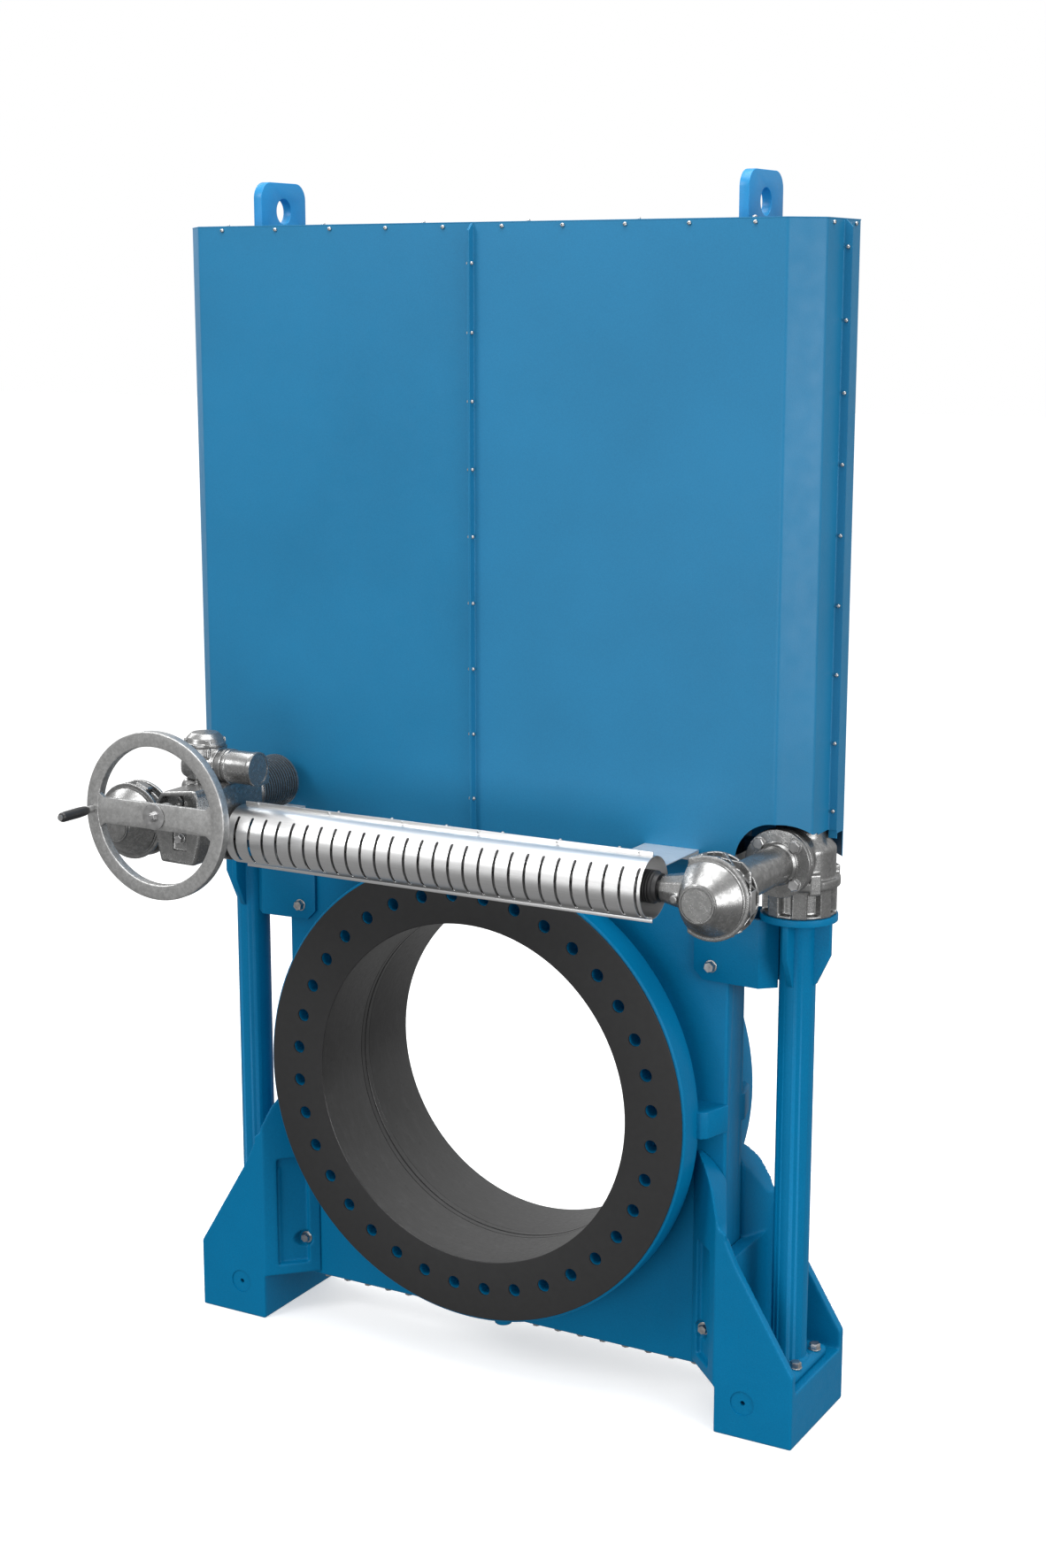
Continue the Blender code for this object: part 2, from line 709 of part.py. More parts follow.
def corner_gearboxes():
    """Bevel boxes at the front corners: a drum, an input boss on its inner side and a coned cover."""
    split = SHAFT_Y - 0.050
    outer = [
        (COVER_R, split),
        (COVER_R, SHAFT_Y + 0.010),
        (0.108, SHAFT_Y + 0.040),
        (0.085, SHAFT_Y + 0.065),
        (0.062, SHAFT_Y + 0.080),
    ]
    room_r = 0.098
    room = [
        (room_r, split - 0.020),
        (room_r, SHAFT_Y + 0.025),
        (0.080, SHAFT_Y + 0.053),
        (TUBE_BORE_R, SHAFT_Y + 0.056),
        (TUBE_BORE_R, SHAFT_Y + 0.100),
    ]
    cover_back, cover_wall = split - GAP, 0.031
    cover_outer = [
        (0.0525, SHAFT_Y - 0.127),
        (0.0545, SHAFT_Y - 0.120),
        (0.102, SHAFT_Y - 0.056),
        (0.108, cover_back),
    ]
    cover_front = SHAFT_Y - 0.127 + cover_wall
    cover_inner = [(0.050, cover_front), (0.088, cover_back - 0.010), (0.095, cover_back)]
    boss_end, boss_r = 0.818, 0.044
    for side, sign in SIDES:
        x = sign * STEM_X
        housing = turned("corner_gearbox_" + side, (x, 0, SHAFT_Z), "Y", outer, None, GREY_CASTING)
        boss = [(boss_r, sign * boss_end), (boss_r + 0.002, sign * 0.870), (boss_r + 0.005, sign * 0.925)]
        arm = turned("input_boss_" + side, (0, SHAFT_Y, SHAFT_Z), "X", boss[::sign])
        passage = rod("input_hole_" + side, (sign * 0.875, SHAFT_Y, SHAFT_Z), "X", 0.030, 0.15)
        join(housing, arm)
        cut(housing, turned("gear_room_" + side, (x, 0, SHAFT_Z), "Y", room), passage)
        # the cover is a bell: open at its back, closed at the front disc
        bell = turned("corner_cover_" + side, (x, 0, SHAFT_Z), "Y", cover_outer, None, GREY_CASTING)
        hollow = [(0.001, cover_front - 0.0001)] + cover_inner + [(0.095, cover_back + 0.02)]
        cut(bell, turned("cover_room_" + side, (x, 0, SHAFT_Z), "Y", hollow))


# ---- actuator ----
def actuator():
    """Gear block on the cross shaft, with the worm's tunnel through it and the controls on top."""
    block_x, block_y, block_z = (-0.775, -0.625), (-0.760, -0.470), (0.735, 0.905)
    tunnel_y = (-0.800, -0.450)
    drum_x, drum_r = (-0.800, -0.610), 0.088
    neck_low, neck_top = 0.930, 0.990
    block = box(
        "actuator_housing",
        (block_x[0], block_y[0], block_z[0]),
        (block_x[1], block_y[1], block_z[1]),
        GREY_CASTING,
    )
    tunnel = rod_between("worm_tunnel", (WORM_X, None, WORM_Z), tunnel_y, 0.064)
    drum = rod_between("wheel_drum", (None, SHAFT_Y, SHAFT_Z), drum_x, drum_r)
    neck = rod_between("controls_neck", (CONTROLS_X, CONTROLS_Y, None), (neck_low, neck_top), 0.058)
    join(block, tunnel, drum, neck)
    room = box("wheel_room", (-0.735, -0.655, 0.757), (-0.650, -0.505, 0.955))
    cross_bore = rod_between("cross_bore", (None, SHAFT_Y, SHAFT_Z), (-0.85, -0.55), 0.030)
    worm_bore = rod_between("worm_bore", (WORM_X, None, WORM_Z), (-0.85, -0.40), 0.030)
    cut(block, room, cross_bore, worm_bore)


def controls():
    """The can on the actuator's neck, with its domed cap and the terminal case at its side."""
    low, split, top = 0.9905, 1.0855, 1.130
    arm_z, arm_end = 1.0305, -0.6418
    can = rod_between(
        "actuator_controls", (CONTROLS_X, CONTROLS_Y, None), (low, split - GAP), 0.062, GREY_CASTING
    )
    port = rod_between("terminal_port", (None, CONTROLS_Y, arm_z), (CONTROLS_X, arm_end), 0.0385)
    join(can, port)
    dome = [(0.0615, split), (0.0615, split + 0.012), (0.055, split + 0.032), (0.030, top)]
    turned("controls_cap", (CONTROLS_X, CONTROLS_Y, 0), "Z", dome, None, GREY_CASTING)
    case = [(0.047, arm_end + GAP), (0.052, -0.636), (0.052, -0.520), (0.046, -0.510)]
    turned("terminal_cover", (0, CONTROLS_Y, arm_z), "X", case, None, GREY_CASTING)


def motor():
    """The motor's housing on the worm shaft's rear end."""
    front, floor, back = -0.4497, -0.272, -0.247
    bore = running_bore(0.014)
    turned(
        "motor_housing",
        (WORM_X, 0, WORM_Z),
        "Y",
        [(0.070, front), (0.082, front + 0.020), (0.082, back)],
        [(0.055, front), (0.055, floor), (bore, floor), (bore, back)],
        GREY_CASTING,
    )


def handwheel():
    """Rim, one flat spoke and a hub; its origin is on the worm shaft's axis."""
    back = WHEEL_FRONT + WHEEL_RIM_T
    inner_r = WHEEL_R - WHEEL_RIM_W
    wheel = turned(
        "handwheel",
        (WORM_X, 0, WORM_Z),
        "Y",
        [(WHEEL_R, WHEEL_FRONT), (WHEEL_R, back)],
        [(inner_r, WHEEL_FRONT), (inner_r, back)],
        GREY_CASTING,
        36,
    )
    spoke_half, spoke_t, spoke_end = 0.0385, 0.014, inner_r + 0.015
    spoke = box(
        "handwheel_spoke",
        (WORM_X - spoke_end, WHEEL_FRONT, WORM_Z - spoke_half),
        (WORM_X + spoke_end, WHEEL_FRONT + spoke_t, WORM_Z + spoke_half),
    )
    hub = rod("handwheel_hub", (WORM_X, WHEEL_FRONT + 0.037, WORM_Z), "Y", 0.030, 0.060)
    bore = rod("handwheel_bore", (WORM_X, WHEEL_FRONT + 0.02, WORM_Z), "Y", running_bore(STUD_R), 0.10)
    seat = rod("handwheel_seat", (WORM_X, WHEEL_FRONT + 0.139, WORM_Z), "Y", running_bore(0.016), 0.20)
    pin_hole = rod("pin_hole", (WORM_X - 0.228, WHEEL_FRONT, WORM_Z), "Y", 0.0073, 0.050, sides=12)
    join(wheel, spoke, hub)
    cut(wheel, bore, seat, pin_hole)
    turned(
        "hub_nut",
        (WORM_X, 0, WORM_Z),
        "Y",
        [
            (0.0145, WHEEL_FRONT - 0.0165),
            (0.0145, WHEEL_FRONT - 0.0045),
            (0.0385, WHEEL_FRONT - 0.0045),
            (0.0385, WHEEL_FRONT - GAP),
        ],
        [(running_bore(STUD_R), WHEEL_FRONT - 0.0165), (running_bore(STUD_R), WHEEL_FRONT - GAP)],
        STEEL,
    )
    tip = WHEEL_FRONT - 0.146
    pin_bore = running_bore(0.006)
    turned(
        "handle_pin",
        (WORM_X - 0.228, 0, WORM_Z),
        "Y",
        [
            (0.009, tip),
            (0.009, tip + 0.004),
            (0.006, tip + 0.004),
            (0.006, WHEEL_FRONT - 0.026),
            (0.011, WHEEL_FRONT - 0.024),
            (0.011, WHEEL_FRONT - GAP),
            (0.007, WHEEL_FRONT - GAP),
            (0.007, WHEEL_FRONT + 0.020),
        ],
        finish=STEEL,
    )
    turned(
        "handle_grip",
        (WORM_X - 0.228, 0, WORM_Z),
        "Y",
        [
            (0.0120, tip + 0.0044),
            (0.0150, tip + 0.012),
            (0.0155, tip + 0.080),
            (0.0120, WHEEL_FRONT - 0.0264),
        ],
        [(pin_bore, tip + 0.0044), (pin_bore, WHEEL_FRONT - 0.0264)],
        BLACK_PLASTIC,
    )


# ---- shaft guard ----
def shaft_guard():
    """Two stainless half shells that meet at a lip above and a lip below."""
    r, wall, lip = 0.088, 0.002, 0.012
    cy, cz = SHAFT_Y, 0.826
    seam_y = cy - GAP / 2
    outer = [p for p in arc((cy, cz), r, 90, 270, 12) if p[0] < cy - wall]
    inner = [p for p in arc((cy, cz), r - wall, 270, 90, 12) if p[0] < cy - 2 * GAP]
    inner = [(seam_y, cz - r + wall)] + inner + [(seam_y, cz + r - wall)]
    shell = [(seam_y, cz + r + lip), (cy - wall, cz + r + lip)] + outer
    shell += [(cy - wall, cz - r - lip), (seam_y, cz - r - lip)] + inner
    for face, turn in FACES:
        outline = [(cy - turn * (u - cy), v) for u, v in shell]
        outline_plate("shaft_guard_" + face, outline, "X", GUARD_X[0], GUARD_X[1], STAINLESS)


def support_brackets():
    """Folded stainless plates from the gate housing to the actuator and to the guard."""
    back = -BOX_HALF_Y - GAP
    sheet = 0.003
    for name, xs, top, front in (
        ("actuator_bracket", (-0.760, -0.618), 0.834, -0.4697),
        ("guard_bracket", (0.572, 0.745), 0.850, -0.4905),
    ):
        profile = [
            (back, top),
            (front, top),
            (front, top - 0.038),
            (front + sheet, top - 0.038),
            (front + sheet, top - sheet),
            (back - sheet, top - sheet),
            (back - sheet, top - 0.033),
            (back, top - 0.033),
        ]
        outline_plate(name, profile, "X", xs[0], xs[1], STAINLESS)


# ---- gate housing, yoke and lugs ----
def housing_panels():
    """Bent sheet panels. Each runs from the standing seam in the middle to the one at the side."""
    half = SHEET / 2
    plan = [
        (GAP, BOX_HALF_Y + SEAM - 0.002),
        (GAP, BOX_HALF_Y - SHEET),
        (BOX_FLAT_X - 0.0012, BOX_HALF_Y - SHEET),
        (BOX_HALF_X - SHEET, BOX_CHAMFER_Y - 0.0012),
        (BOX_HALF_X - SHEET, half / 5),
        (BOX_HALF_X + SEAM, half / 5),
        (BOX_HALF_X + SEAM, half / 5 + SHEET),
        (BOX_HALF_X, half / 5 + SHEET),
        (BOX_HALF_X, BOX_CHAMFER_Y),
        (BOX_FLAT_X, BOX_HALF_Y),
        (GAP + SHEET, BOX_HALF_Y),
        (GAP + SHEET, BOX_HALF_Y + SEAM - 0.002),
    ]
    for face, turn in FACES:
        for side, sign in SIDES:
            label = face + "_" + side
            outline = [(sign * u, turn * v) for u, v in plan]
            panel = outline_plate("panel_" + label, outline, "Z", BOX_LOW, BOX_TOP - 0.0035, BLUE_SHEET)
            xs = sorted((sign * (BOX_HALF_X - SHEET - 0.0005), sign * (BOX_HALF_X + 2 * SEAM)))
            ys = sorted((-turn * 0.01, turn * (BOX_CHAMFER_Y + 0.007)))
            top = SIDE_NOTCH_TOP[face]
            notch = box("side_notch_" + label, (xs[0], ys[0], BOX_LOW - 0.05), (xs[1], ys[1], top))
            cut(panel, notch)
            if face == "front":
                cut(panel, rod("flange_notch_" + side, (sign * STEM_X, -0.16, SHAFT_Z), "Y", COVER_R, 0.16))


def housing_top():
    edge = [(BOX_FLAT_X, BOX_HALF_Y), (BOX_HALF_X, BOX_CHAMFER_Y)]
    outline = edge + [(u, -v) for u, v in reversed(edge)]
    outline += [(-u, -v) for u, v in edge] + [(-u, v) for u, v in reversed(edge)]
    top = outline_plate("housing_top", outline, "Z", BOX_TOP - 0.0032, BOX_TOP, BLUE_SHEET)
    for side, sign in SIDES:
        xs = sorted((sign * (LUG_X[0] - 0.003), sign * (LUG_X[1] + 0.003)))
        hole = box(
            "lug_slot_" + side,
            (xs[0], -LUG_HALF_Y - 0.003, BOX_TOP - 0.05),
            (xs[1], LUG_HALF_Y + 0.003, BOX_TOP + 0.05),
        )
        cut(top, hole)


def yoke():
    """Four posts inside the housing, on a base plate at each side of the slab's top."""
    base_top = SLAB_TOP + 0.028
    for side, sign in SIDES:
        xs = sorted(sign * v for v in YOKE_X)
        box(
            "yoke_base_" + side,
            (xs[0], -LUG_HALF_Y, SLAB_TOP + GAP),
            (xs[1], LUG_HALF_Y, base_top),
            STEEL,
        )
        for face, turn in FACES:
            px = sorted(sign * v for v in POST_X)
            py = sorted(turn * v for v in POST_Y)
            box(
                "yoke_post_" + face + "_" + side,
                (px[0], py[0], base_top + GAP),
                (px[1], py[1], BEAM_LOW - GAP),
                STEEL,
            )


def lifting_beam():
    """The beam across the top of the yoke, with a lug welded on near each end."""
    corner = 0.050
    low, high = (-YOKE_X[1], -LUG_HALF_Y, BEAM_LOW), (YOKE_X[1], LUG_HALF_Y, BEAM_TOP)
    beam = box("lifting_beam", low, high, BLUE_SHEET)
    top_left = (-LUG_HALF_Y + corner, LUG_TOP - corner)
    outline = [(LUG_HALF_Y - 0.001, BEAM_LOW + 0.01), (LUG_HALF_Y, BEAM_TOP + 0.01)]
    outline += arc((LUG_HALF_Y - corner, LUG_TOP - corner), corner, 0, 90, 6)
    outline += arc(top_left, corner, 90, 180, 6)
    outline += [(-LUG_HALF_Y, BEAM_TOP + 0.01), (-LUG_HALF_Y + 0.001, BEAM_LOW + 0.01)]
    for side, sign in SIDES:
        xs = sorted(sign * v for v in LUG_X)
        lug = outline_plate("lifting_lug_" + side, outline, "X", xs[0], xs[1])
        middle = sum(LUG_X) / 2
        eye = rod("lug_eye_" + side, (sign * middle, 0, LUG_HOLE_Z), "X", LUG_HOLE_R, 0.1, sides=20)
        cut(lug, eye)
        join(beam, lug)


body_halves()
sleeves()
packing()
feet()
columns()
bracket_plates()
gate_train()
stem_nuts()
bevel_shafts()
cross_shaft()
worm_shaft()
column_gearboxes()
output_tubes()
corner_gearboxes()
actuator()
controls()
motor()
handwheel()
shaft_guard()
support_brackets()
housing_panels()
housing_top()
yoke()
lifting_beam()
settle()
bpy.context.view_layer.update()
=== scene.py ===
"""The knife gate valve's looks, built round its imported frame.

Everything is drawn in the valve's own frame, whose zero is the point on the pipe's axis midway
between the two sleeve faces, and moved to the row frame when a piece is finished. Metres, +Z up,
the handwheel side is -Y.
"""

from math import cos, pi, radians, sin, sqrt

import bmesh
import bpy
from mathutils import Matrix, Vector


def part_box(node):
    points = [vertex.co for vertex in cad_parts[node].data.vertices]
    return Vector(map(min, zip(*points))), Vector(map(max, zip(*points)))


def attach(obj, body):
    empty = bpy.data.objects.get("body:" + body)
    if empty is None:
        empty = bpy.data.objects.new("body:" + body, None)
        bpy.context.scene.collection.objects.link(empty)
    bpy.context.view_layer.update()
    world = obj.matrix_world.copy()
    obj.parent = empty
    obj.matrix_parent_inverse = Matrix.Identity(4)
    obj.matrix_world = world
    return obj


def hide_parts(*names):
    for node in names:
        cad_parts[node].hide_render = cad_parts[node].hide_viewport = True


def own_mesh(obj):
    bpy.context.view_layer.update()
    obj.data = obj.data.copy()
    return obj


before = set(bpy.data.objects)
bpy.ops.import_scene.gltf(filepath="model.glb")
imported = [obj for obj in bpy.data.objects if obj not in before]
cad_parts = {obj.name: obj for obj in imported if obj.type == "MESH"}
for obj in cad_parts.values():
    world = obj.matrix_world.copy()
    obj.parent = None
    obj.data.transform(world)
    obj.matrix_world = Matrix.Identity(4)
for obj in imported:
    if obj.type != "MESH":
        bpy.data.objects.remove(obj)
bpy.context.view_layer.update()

SIDES = (("left", -1), ("right", 1))
FACES = (("front", -1), ("rear", 1))


def span(node, axis):
    """A node's lowest and highest value along an axis, in the valve's own frame."""
    low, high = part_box(node)
    k = "XYZ".index(axis)
    return low[k] - DATUM[k], high[k] - DATUM[k]


sleeve_low, sleeve_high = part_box("sleeve_front")
rear_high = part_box("sleeve_rear")[1]
DATUM = Vector((0, (sleeve_low.y + rear_high.y) / 2, (sleeve_low.z + sleeve_high.z) / 2))

# ---- driving dimensions, read from the frame or set as the frame's own ----
FACE_Y = span("sleeve_rear", "Y")[1]
RUBBER_R = span("sleeve_front", "X")[1]
RUBBER_T = 0.0067
BORE_R = 0.539
BARREL_R = BORE_R + 0.0255
SLAB_X = 0.782
SLAB_Y = 0.064
SLAB_LOW = -0.805
SLAB_TOP = 0.800
FLANGE_R = 0.735
FLANGE_BACK = 0.150
NECK_R = 0.665
BOLTS = 36
BOLT_CIRCLE_R = 0.62865
BOLT_HOLE_R = 0.02065
STEM_X = 0.975
SHAFT_Y = -0.580
SHAFT_Z = 0.829
WORM_X = -0.690
WORM_Z = 0.920
FOOT_LOW, FOOT_LEDGE = span("foot_left", "Z")[0], -0.768
FOOT_IN, FOOT_OUT = 0.820, 1.073
FOOT_Y = 0.202
BOX_FLAT_X, BOX_X, BOX_Y, BOX_CHAMFER_Y = 0.977, 1.060, 0.202, 0.120
BOX_LOW, BOX_TOP = span("panel_front_left", "Z")[0], span("housing_top", "Z")[1]
SEAM = 0.025
SHEET = 0.003


# ---- shapes: each returns an object drawn in the valve's own frame ----
def shape(bm):
    bmesh.ops.remove_doubles(bm, verts=bm.verts, dist=1e-6)
    bmesh.ops.recalc_face_normals(bm, faces=bm.faces)
    if bm.calc_volume(signed=True) < 0:
        bmesh.ops.reverse_faces(bm, faces=bm.faces)
    mesh = bpy.data.meshes.new("shape")
    bm.to_mesh(mesh)
    bm.free()
    obj = bpy.data.objects.new("shape", mesh)
    bpy.context.scene.collection.objects.link(obj)
    return obj


def axes(axis):
    """A matrix that turns Z onto the named axis; a minus sign turns it the other way."""
    turn = {
        "X": Matrix.Rotation(pi / 2, 4, "Y"),
        "Y": Matrix.Rotation(-pi / 2, 4, "X"),
        "Z": Matrix.Identity(4),
        "-X": Matrix.Rotation(-pi / 2, 4, "Y"),
        "-Y": Matrix.Rotation(pi / 2, 4, "X"),
        "-Z": Matrix.Rotation(pi, 4, "X"),
    }
    return turn[axis]


def add_turned(bm, matrix, profile, steps=64, start=0.0):
    """Add a solid of revolution: the profile's (radius, height) points run round its section."""
    angles = [start + 2 * pi * k / steps for k in range(steps)]
    rings = []
    for r, s in profile:
        if r < 1e-6:
            rings.append([bm.verts.new(matrix @ Vector((0, 0, s)))] * steps)
        else:
            rings.append([bm.verts.new(matrix @ Vector((r * cos(a), r * sin(a), s))) for a in angles])
    for low, high in zip(rings, rings[1:] + rings[:1]):
        for k in range(steps):
            n = (k + 1) % steps
            corners = list(dict.fromkeys((low[k], low[n], high[n], high[k])))
            if len(corners) > 2:
                bm.faces.new(corners)


def turned(profile, axis="Z", centre=(0, 0, 0), steps=64, start=0.0):
    bm = bmesh.new()
    add_turned(bm, Matrix.Translation(centre) @ axes(axis), profile, steps, start)
    return shape(bm)


def soft(profile, r, steps=3, closed=True):
    """A section with its corners rounded to radius r where there is room."""
    made = []
    count = len(profile)
    for k, point in enumerate(profile):
        here = Vector(point)
        back, ahead = Vector(profile[k - 1]) - here, Vector(profile[(k + 1) % count]) - here
        on_axis = point[0] < 1e-6
        end = not closed and k in (0, count - 1)
        if on_axis or end or back.length < 1e-6 or ahead.length < 1e-6 or back.angle(ahead) > radians(172):
            made.append(tuple(point))
            continue
        reach = min(r, back.length * 0.45, ahead.length * 0.45)
        a, b = here + back.normalized() * reach, here + ahead.normalized() * reach
        for j in range(steps + 1):
            t = j / steps
            made.append(tuple(a * (1 - t) ** 2 + here * 2 * t * (1 - t) + b * t * t))
    return made


def ring(inner, outer, low, high, r=0.002):
    """The section of a ring with rounded corners."""
    return soft([(inner, low), (outer, low), (outer, high), (inner, high)], r)


def disc(outer, low, high, r=0.002):
    """The section of a solid disc with rounded corners."""
    return soft([(0, low), (outer, low), (outer, high), (0, high)], r)


def block(low, high):
    bm = bmesh.new()
    size = [b - a for a, b in zip(low, high)]
    middle = Vector([(a + b) / 2 for a, b in zip(low, high)])
    bmesh.ops.create_cube(bm, size=1)
    bmesh.ops.scale(bm, vec=size, verts=bm.verts)
    bmesh.ops.translate(bm, vec=middle, verts=bm.verts)
    return shape(bm)


def plate(outline, axis, low, high):
    """An outline with a thickness; its points are (y, z), (x, z) or (x, y) for axis X, Y or Z."""
    place = {
        "X": lambda u, v, w: (w, u, v),
        "Y": lambda u, v, w: (u, w, v),
        "Z": lambda u, v, w: (u, v, w),
    }[axis]
    bm = bmesh.new()
    near = [bm.verts.new(place(u, v, low)) for u, v in outline]
    far = [bm.verts.new(place(u, v, high)) for u, v in outline]
    bm.faces.new(near)
    bm.faces.new(reversed(far))
    for k in range(len(outline)):
        n = (k + 1) % len(outline)
        bm.faces.new((near[n], near[k], far[k], far[n]))
    return shape(bm)


def arc(centre, r, start, end, steps=12):
    """Points of an arc, angles in degrees."""
    angles = [radians(start + (end - start) * k / steps) for k in range(steps + 1)]
    return [(centre[0] + r * cos(a), centre[1] + r * sin(a)) for a in angles]


def flip(points, sign):
    """An outline reflected in its first coordinate when sign is -1."""
    return [(sign * u, v) for u, v in points]


def baked(obj):
    """Replace an object's mesh with what its modifiers make of it."""
    bpy.context.view_layer.update()
    graph = bpy.context.evaluated_depsgraph_get()
    mesh = bpy.data.meshes.new_from_object(obj.evaluated_get(graph))
    obj.modifiers.clear()
    obj.data = mesh
    return obj


def combined(obj, others, operation, solver="EXACT"):
    for other in others:
        modifier = obj.modifiers.new("combine", "BOOLEAN")
        modifier.operation = operation
        modifier.solver = solver
        modifier.object = other
    baked(obj)
    for other in others:
        bpy.data.objects.remove(other, do_unlink=True)
    return obj


def cut(obj, *others):
    return combined(obj, others, "DIFFERENCE")


def union(obj, *others):
    return combined(obj, others, "UNION")


def rounded(obj, width, segments=3, angle=30):
    """Round the edges sharper than an angle."""
    modifier = obj.modifiers.new("round", "BEVEL")
    modifier.width = width
    modifier.segments = segments
    modifier.limit_method = "ANGLE"
    modifier.angle_limit = radians(angle)
    modifier.use_clamp_overlap = True
    return baked(obj)


def cast(obj, parts, voxel, passes=3):
    """Melt overlapping shapes into one skin with soft edges, as a casting's are."""
    bm = bmesh.new()
    for part in (obj, *parts):
        bm.from_mesh(part.data)
    bm.to_mesh(obj.data)
    bm.free()
    for part in parts:
        bpy.data.objects.remove(part, do_unlink=True)
    remesh = obj.modifiers.new("cast", "REMESH")
    remesh.mode = "VOXEL"
    remesh.voxel_size = voxel
    smooth = obj.modifiers.new("melt", "SMOOTH")
    smooth.factor = 0.5
    smooth.iterations = passes
    return baked(obj)


def finish(obj, name, look, body="frame", replaces=(), sharp=40):
    """Name a shape, give it its look and hang it on its body in the row frame."""
    obj.name = name
    obj.data.name = name
    obj.data.transform(Matrix.Translation(DATUM))
    obj.data.materials.clear()
    obj.data.materials.append(LOOKS[look][0])
    obj.data.shade_smooth()
    obj.data.set_sharp_from_angle(angle=radians(sharp))
    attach(obj, body)
    if replaces:
        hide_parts(*replaces)
    return obj


# ---- fasteners ----
def add_hex(bm, matrix, across_flats, height, washer=1.12, washer_t=0.15, start=0.0):
    """Add a hexagon head on a washer, standing on the matrix's XY plane."""
    r = across_flats / sqrt(3)
    base = washer_t * height
    add_turned(bm, matrix, disc(r * washer, 0, base, base / 3), 24)
    head = [(0, base), (r, base), (r, height * 0.86), (r * 0.88, height), (0, height)]
    add_turned(bm, matrix, head, 6, start)


def hexes(places, direction, across_flats, height, **more):
    """A group of identical hexagon heads at several places, all pointing one way."""
    bm = bmesh.new()
    for k, place in enumerate(places):
        matrix = Matrix.Translation(place) @ axes(direction)
        add_hex(bm, matrix, across_flats, height, start=0.3 + 0.7 * k, **more)
    return shape(bm)


def add_screw(bm, matrix, r):
    """Add a small domed screw head with a socket."""
    profile = [(0, 0), (r, 0), (r, r * 0.35), (r * 0.85, r * 0.75), (r * 0.5, r * 0.95)]
    profile += [(r * 0.42, r * 0.95), (r * 0.42, r * 0.5), (0, r * 0.5)]
    add_turned(bm, matrix, profile, 12)


def screws(places, direction, r=0.006):
    bm = bmesh.new()
    for place in places:
        add_screw(bm, Matrix.Translation(place) @ axes(direction), r)
    return shape(bm)


# ---- materials ----
def material(name, colour, metallic, roughness):
    """A material, its node tree, its shader and its object coordinates in metres."""
    made = bpy.data.materials.new(name)
    made.use_nodes = True
    tree = made.node_tree
    shader = tree.nodes["Principled BSDF"]
    shader.inputs["Base Color"].default_value = (*colour, 1)
    shader.inputs["Metallic"].default_value = metallic
    shader.inputs["Roughness"].default_value = roughness
    return made, tree, shader, tree.nodes.new("ShaderNodeTexCoord").outputs["Object"]


def noise(tree, coords, scale, detail=2.0, stretch=(1, 1, 1), rough=0.5):
    """Noise with about scale features a metre, drawn out where stretch is small."""
    mapping = tree.nodes.new("ShaderNodeMapping")
    mapping.inputs["Scale"].default_value = stretch
    texture = tree.nodes.new("ShaderNodeTexNoise")
    texture.inputs["Scale"].default_value = scale
    texture.inputs["Detail"].default_value = detail
    texture.inputs["Roughness"].default_value = rough
    tree.links.new(coords, mapping.inputs["Vector"])
    tree.links.new(mapping.outputs["Vector"], texture.inputs["Vector"])
    return texture.outputs["Fac"]


def ramp(tree, value, *stops):
    """A colour ramp over (position, colour) stops."""
    node = tree.nodes.new("ShaderNodeValToRGB")
    elements = node.color_ramp.elements
    while len(elements) < len(stops):
        elements.new(0.5)
    for element, (position, colour) in zip(elements, stops):
        element.position = position
        element.color = (*colour, 1)
    tree.links.new(value, node.inputs["Fac"])
    return node.outputs["Color"]


def spread(tree, value, low, high):
    """Map a noise's middle range onto low to high."""
    node = tree.nodes.new("ShaderNodeMapRange")
    node.inputs["From Min"].default_value = 0.3
    node.inputs["From Max"].default_value = 0.7
    node.inputs["To Min"].default_value = low
    node.inputs["To Max"].default_value = high
    tree.links.new(value, node.inputs["Value"])
    return node.outputs["Result"]


def maths(tree, operation, *values):
    node = tree.nodes.new("ShaderNodeMath")
    node.operation = operation
    for socket, value in zip(node.inputs, values):
        if isinstance(value, (int, float)):
            socket.default_value = value
        else:
            tree.links.new(value, socket)
    return node.outputs["Value"]


def mixed(tree, factor, a, b):
    """Mix two colours by a factor."""
    node = tree.nodes.new("ShaderNodeMix")
    node.data_type = "RGBA"
    tree.links.new(factor, node.inputs["Factor"])
    for socket, value in ((node.inputs["A"], a), (node.inputs["B"], b)):
        if isinstance(value, tuple):
            socket.default_value = (*value, 1)
        else:
            tree.links.new(value, socket)
    return node.outputs["Result"]


def bumped(tree, shader, *layers):
    """Stack bump layers, each a height and a distance in metres, on a shader."""
    last = None
    for height, distance in layers:
        node = tree.nodes.new("ShaderNodeBump")
        node.inputs["Strength"].default_value = 1
        node.inputs["Distance"].default_value = distance
        tree.links.new(height, node.inputs["Height"])
        if last is not None:
            tree.links.new(last, node.inputs["Normal"])
        last = node.outputs["Normal"]
    tree.links.new(last, shader.inputs["Normal"])


def scaled(colour, k):
    return tuple(min(1.0, c * k) for c in colour)


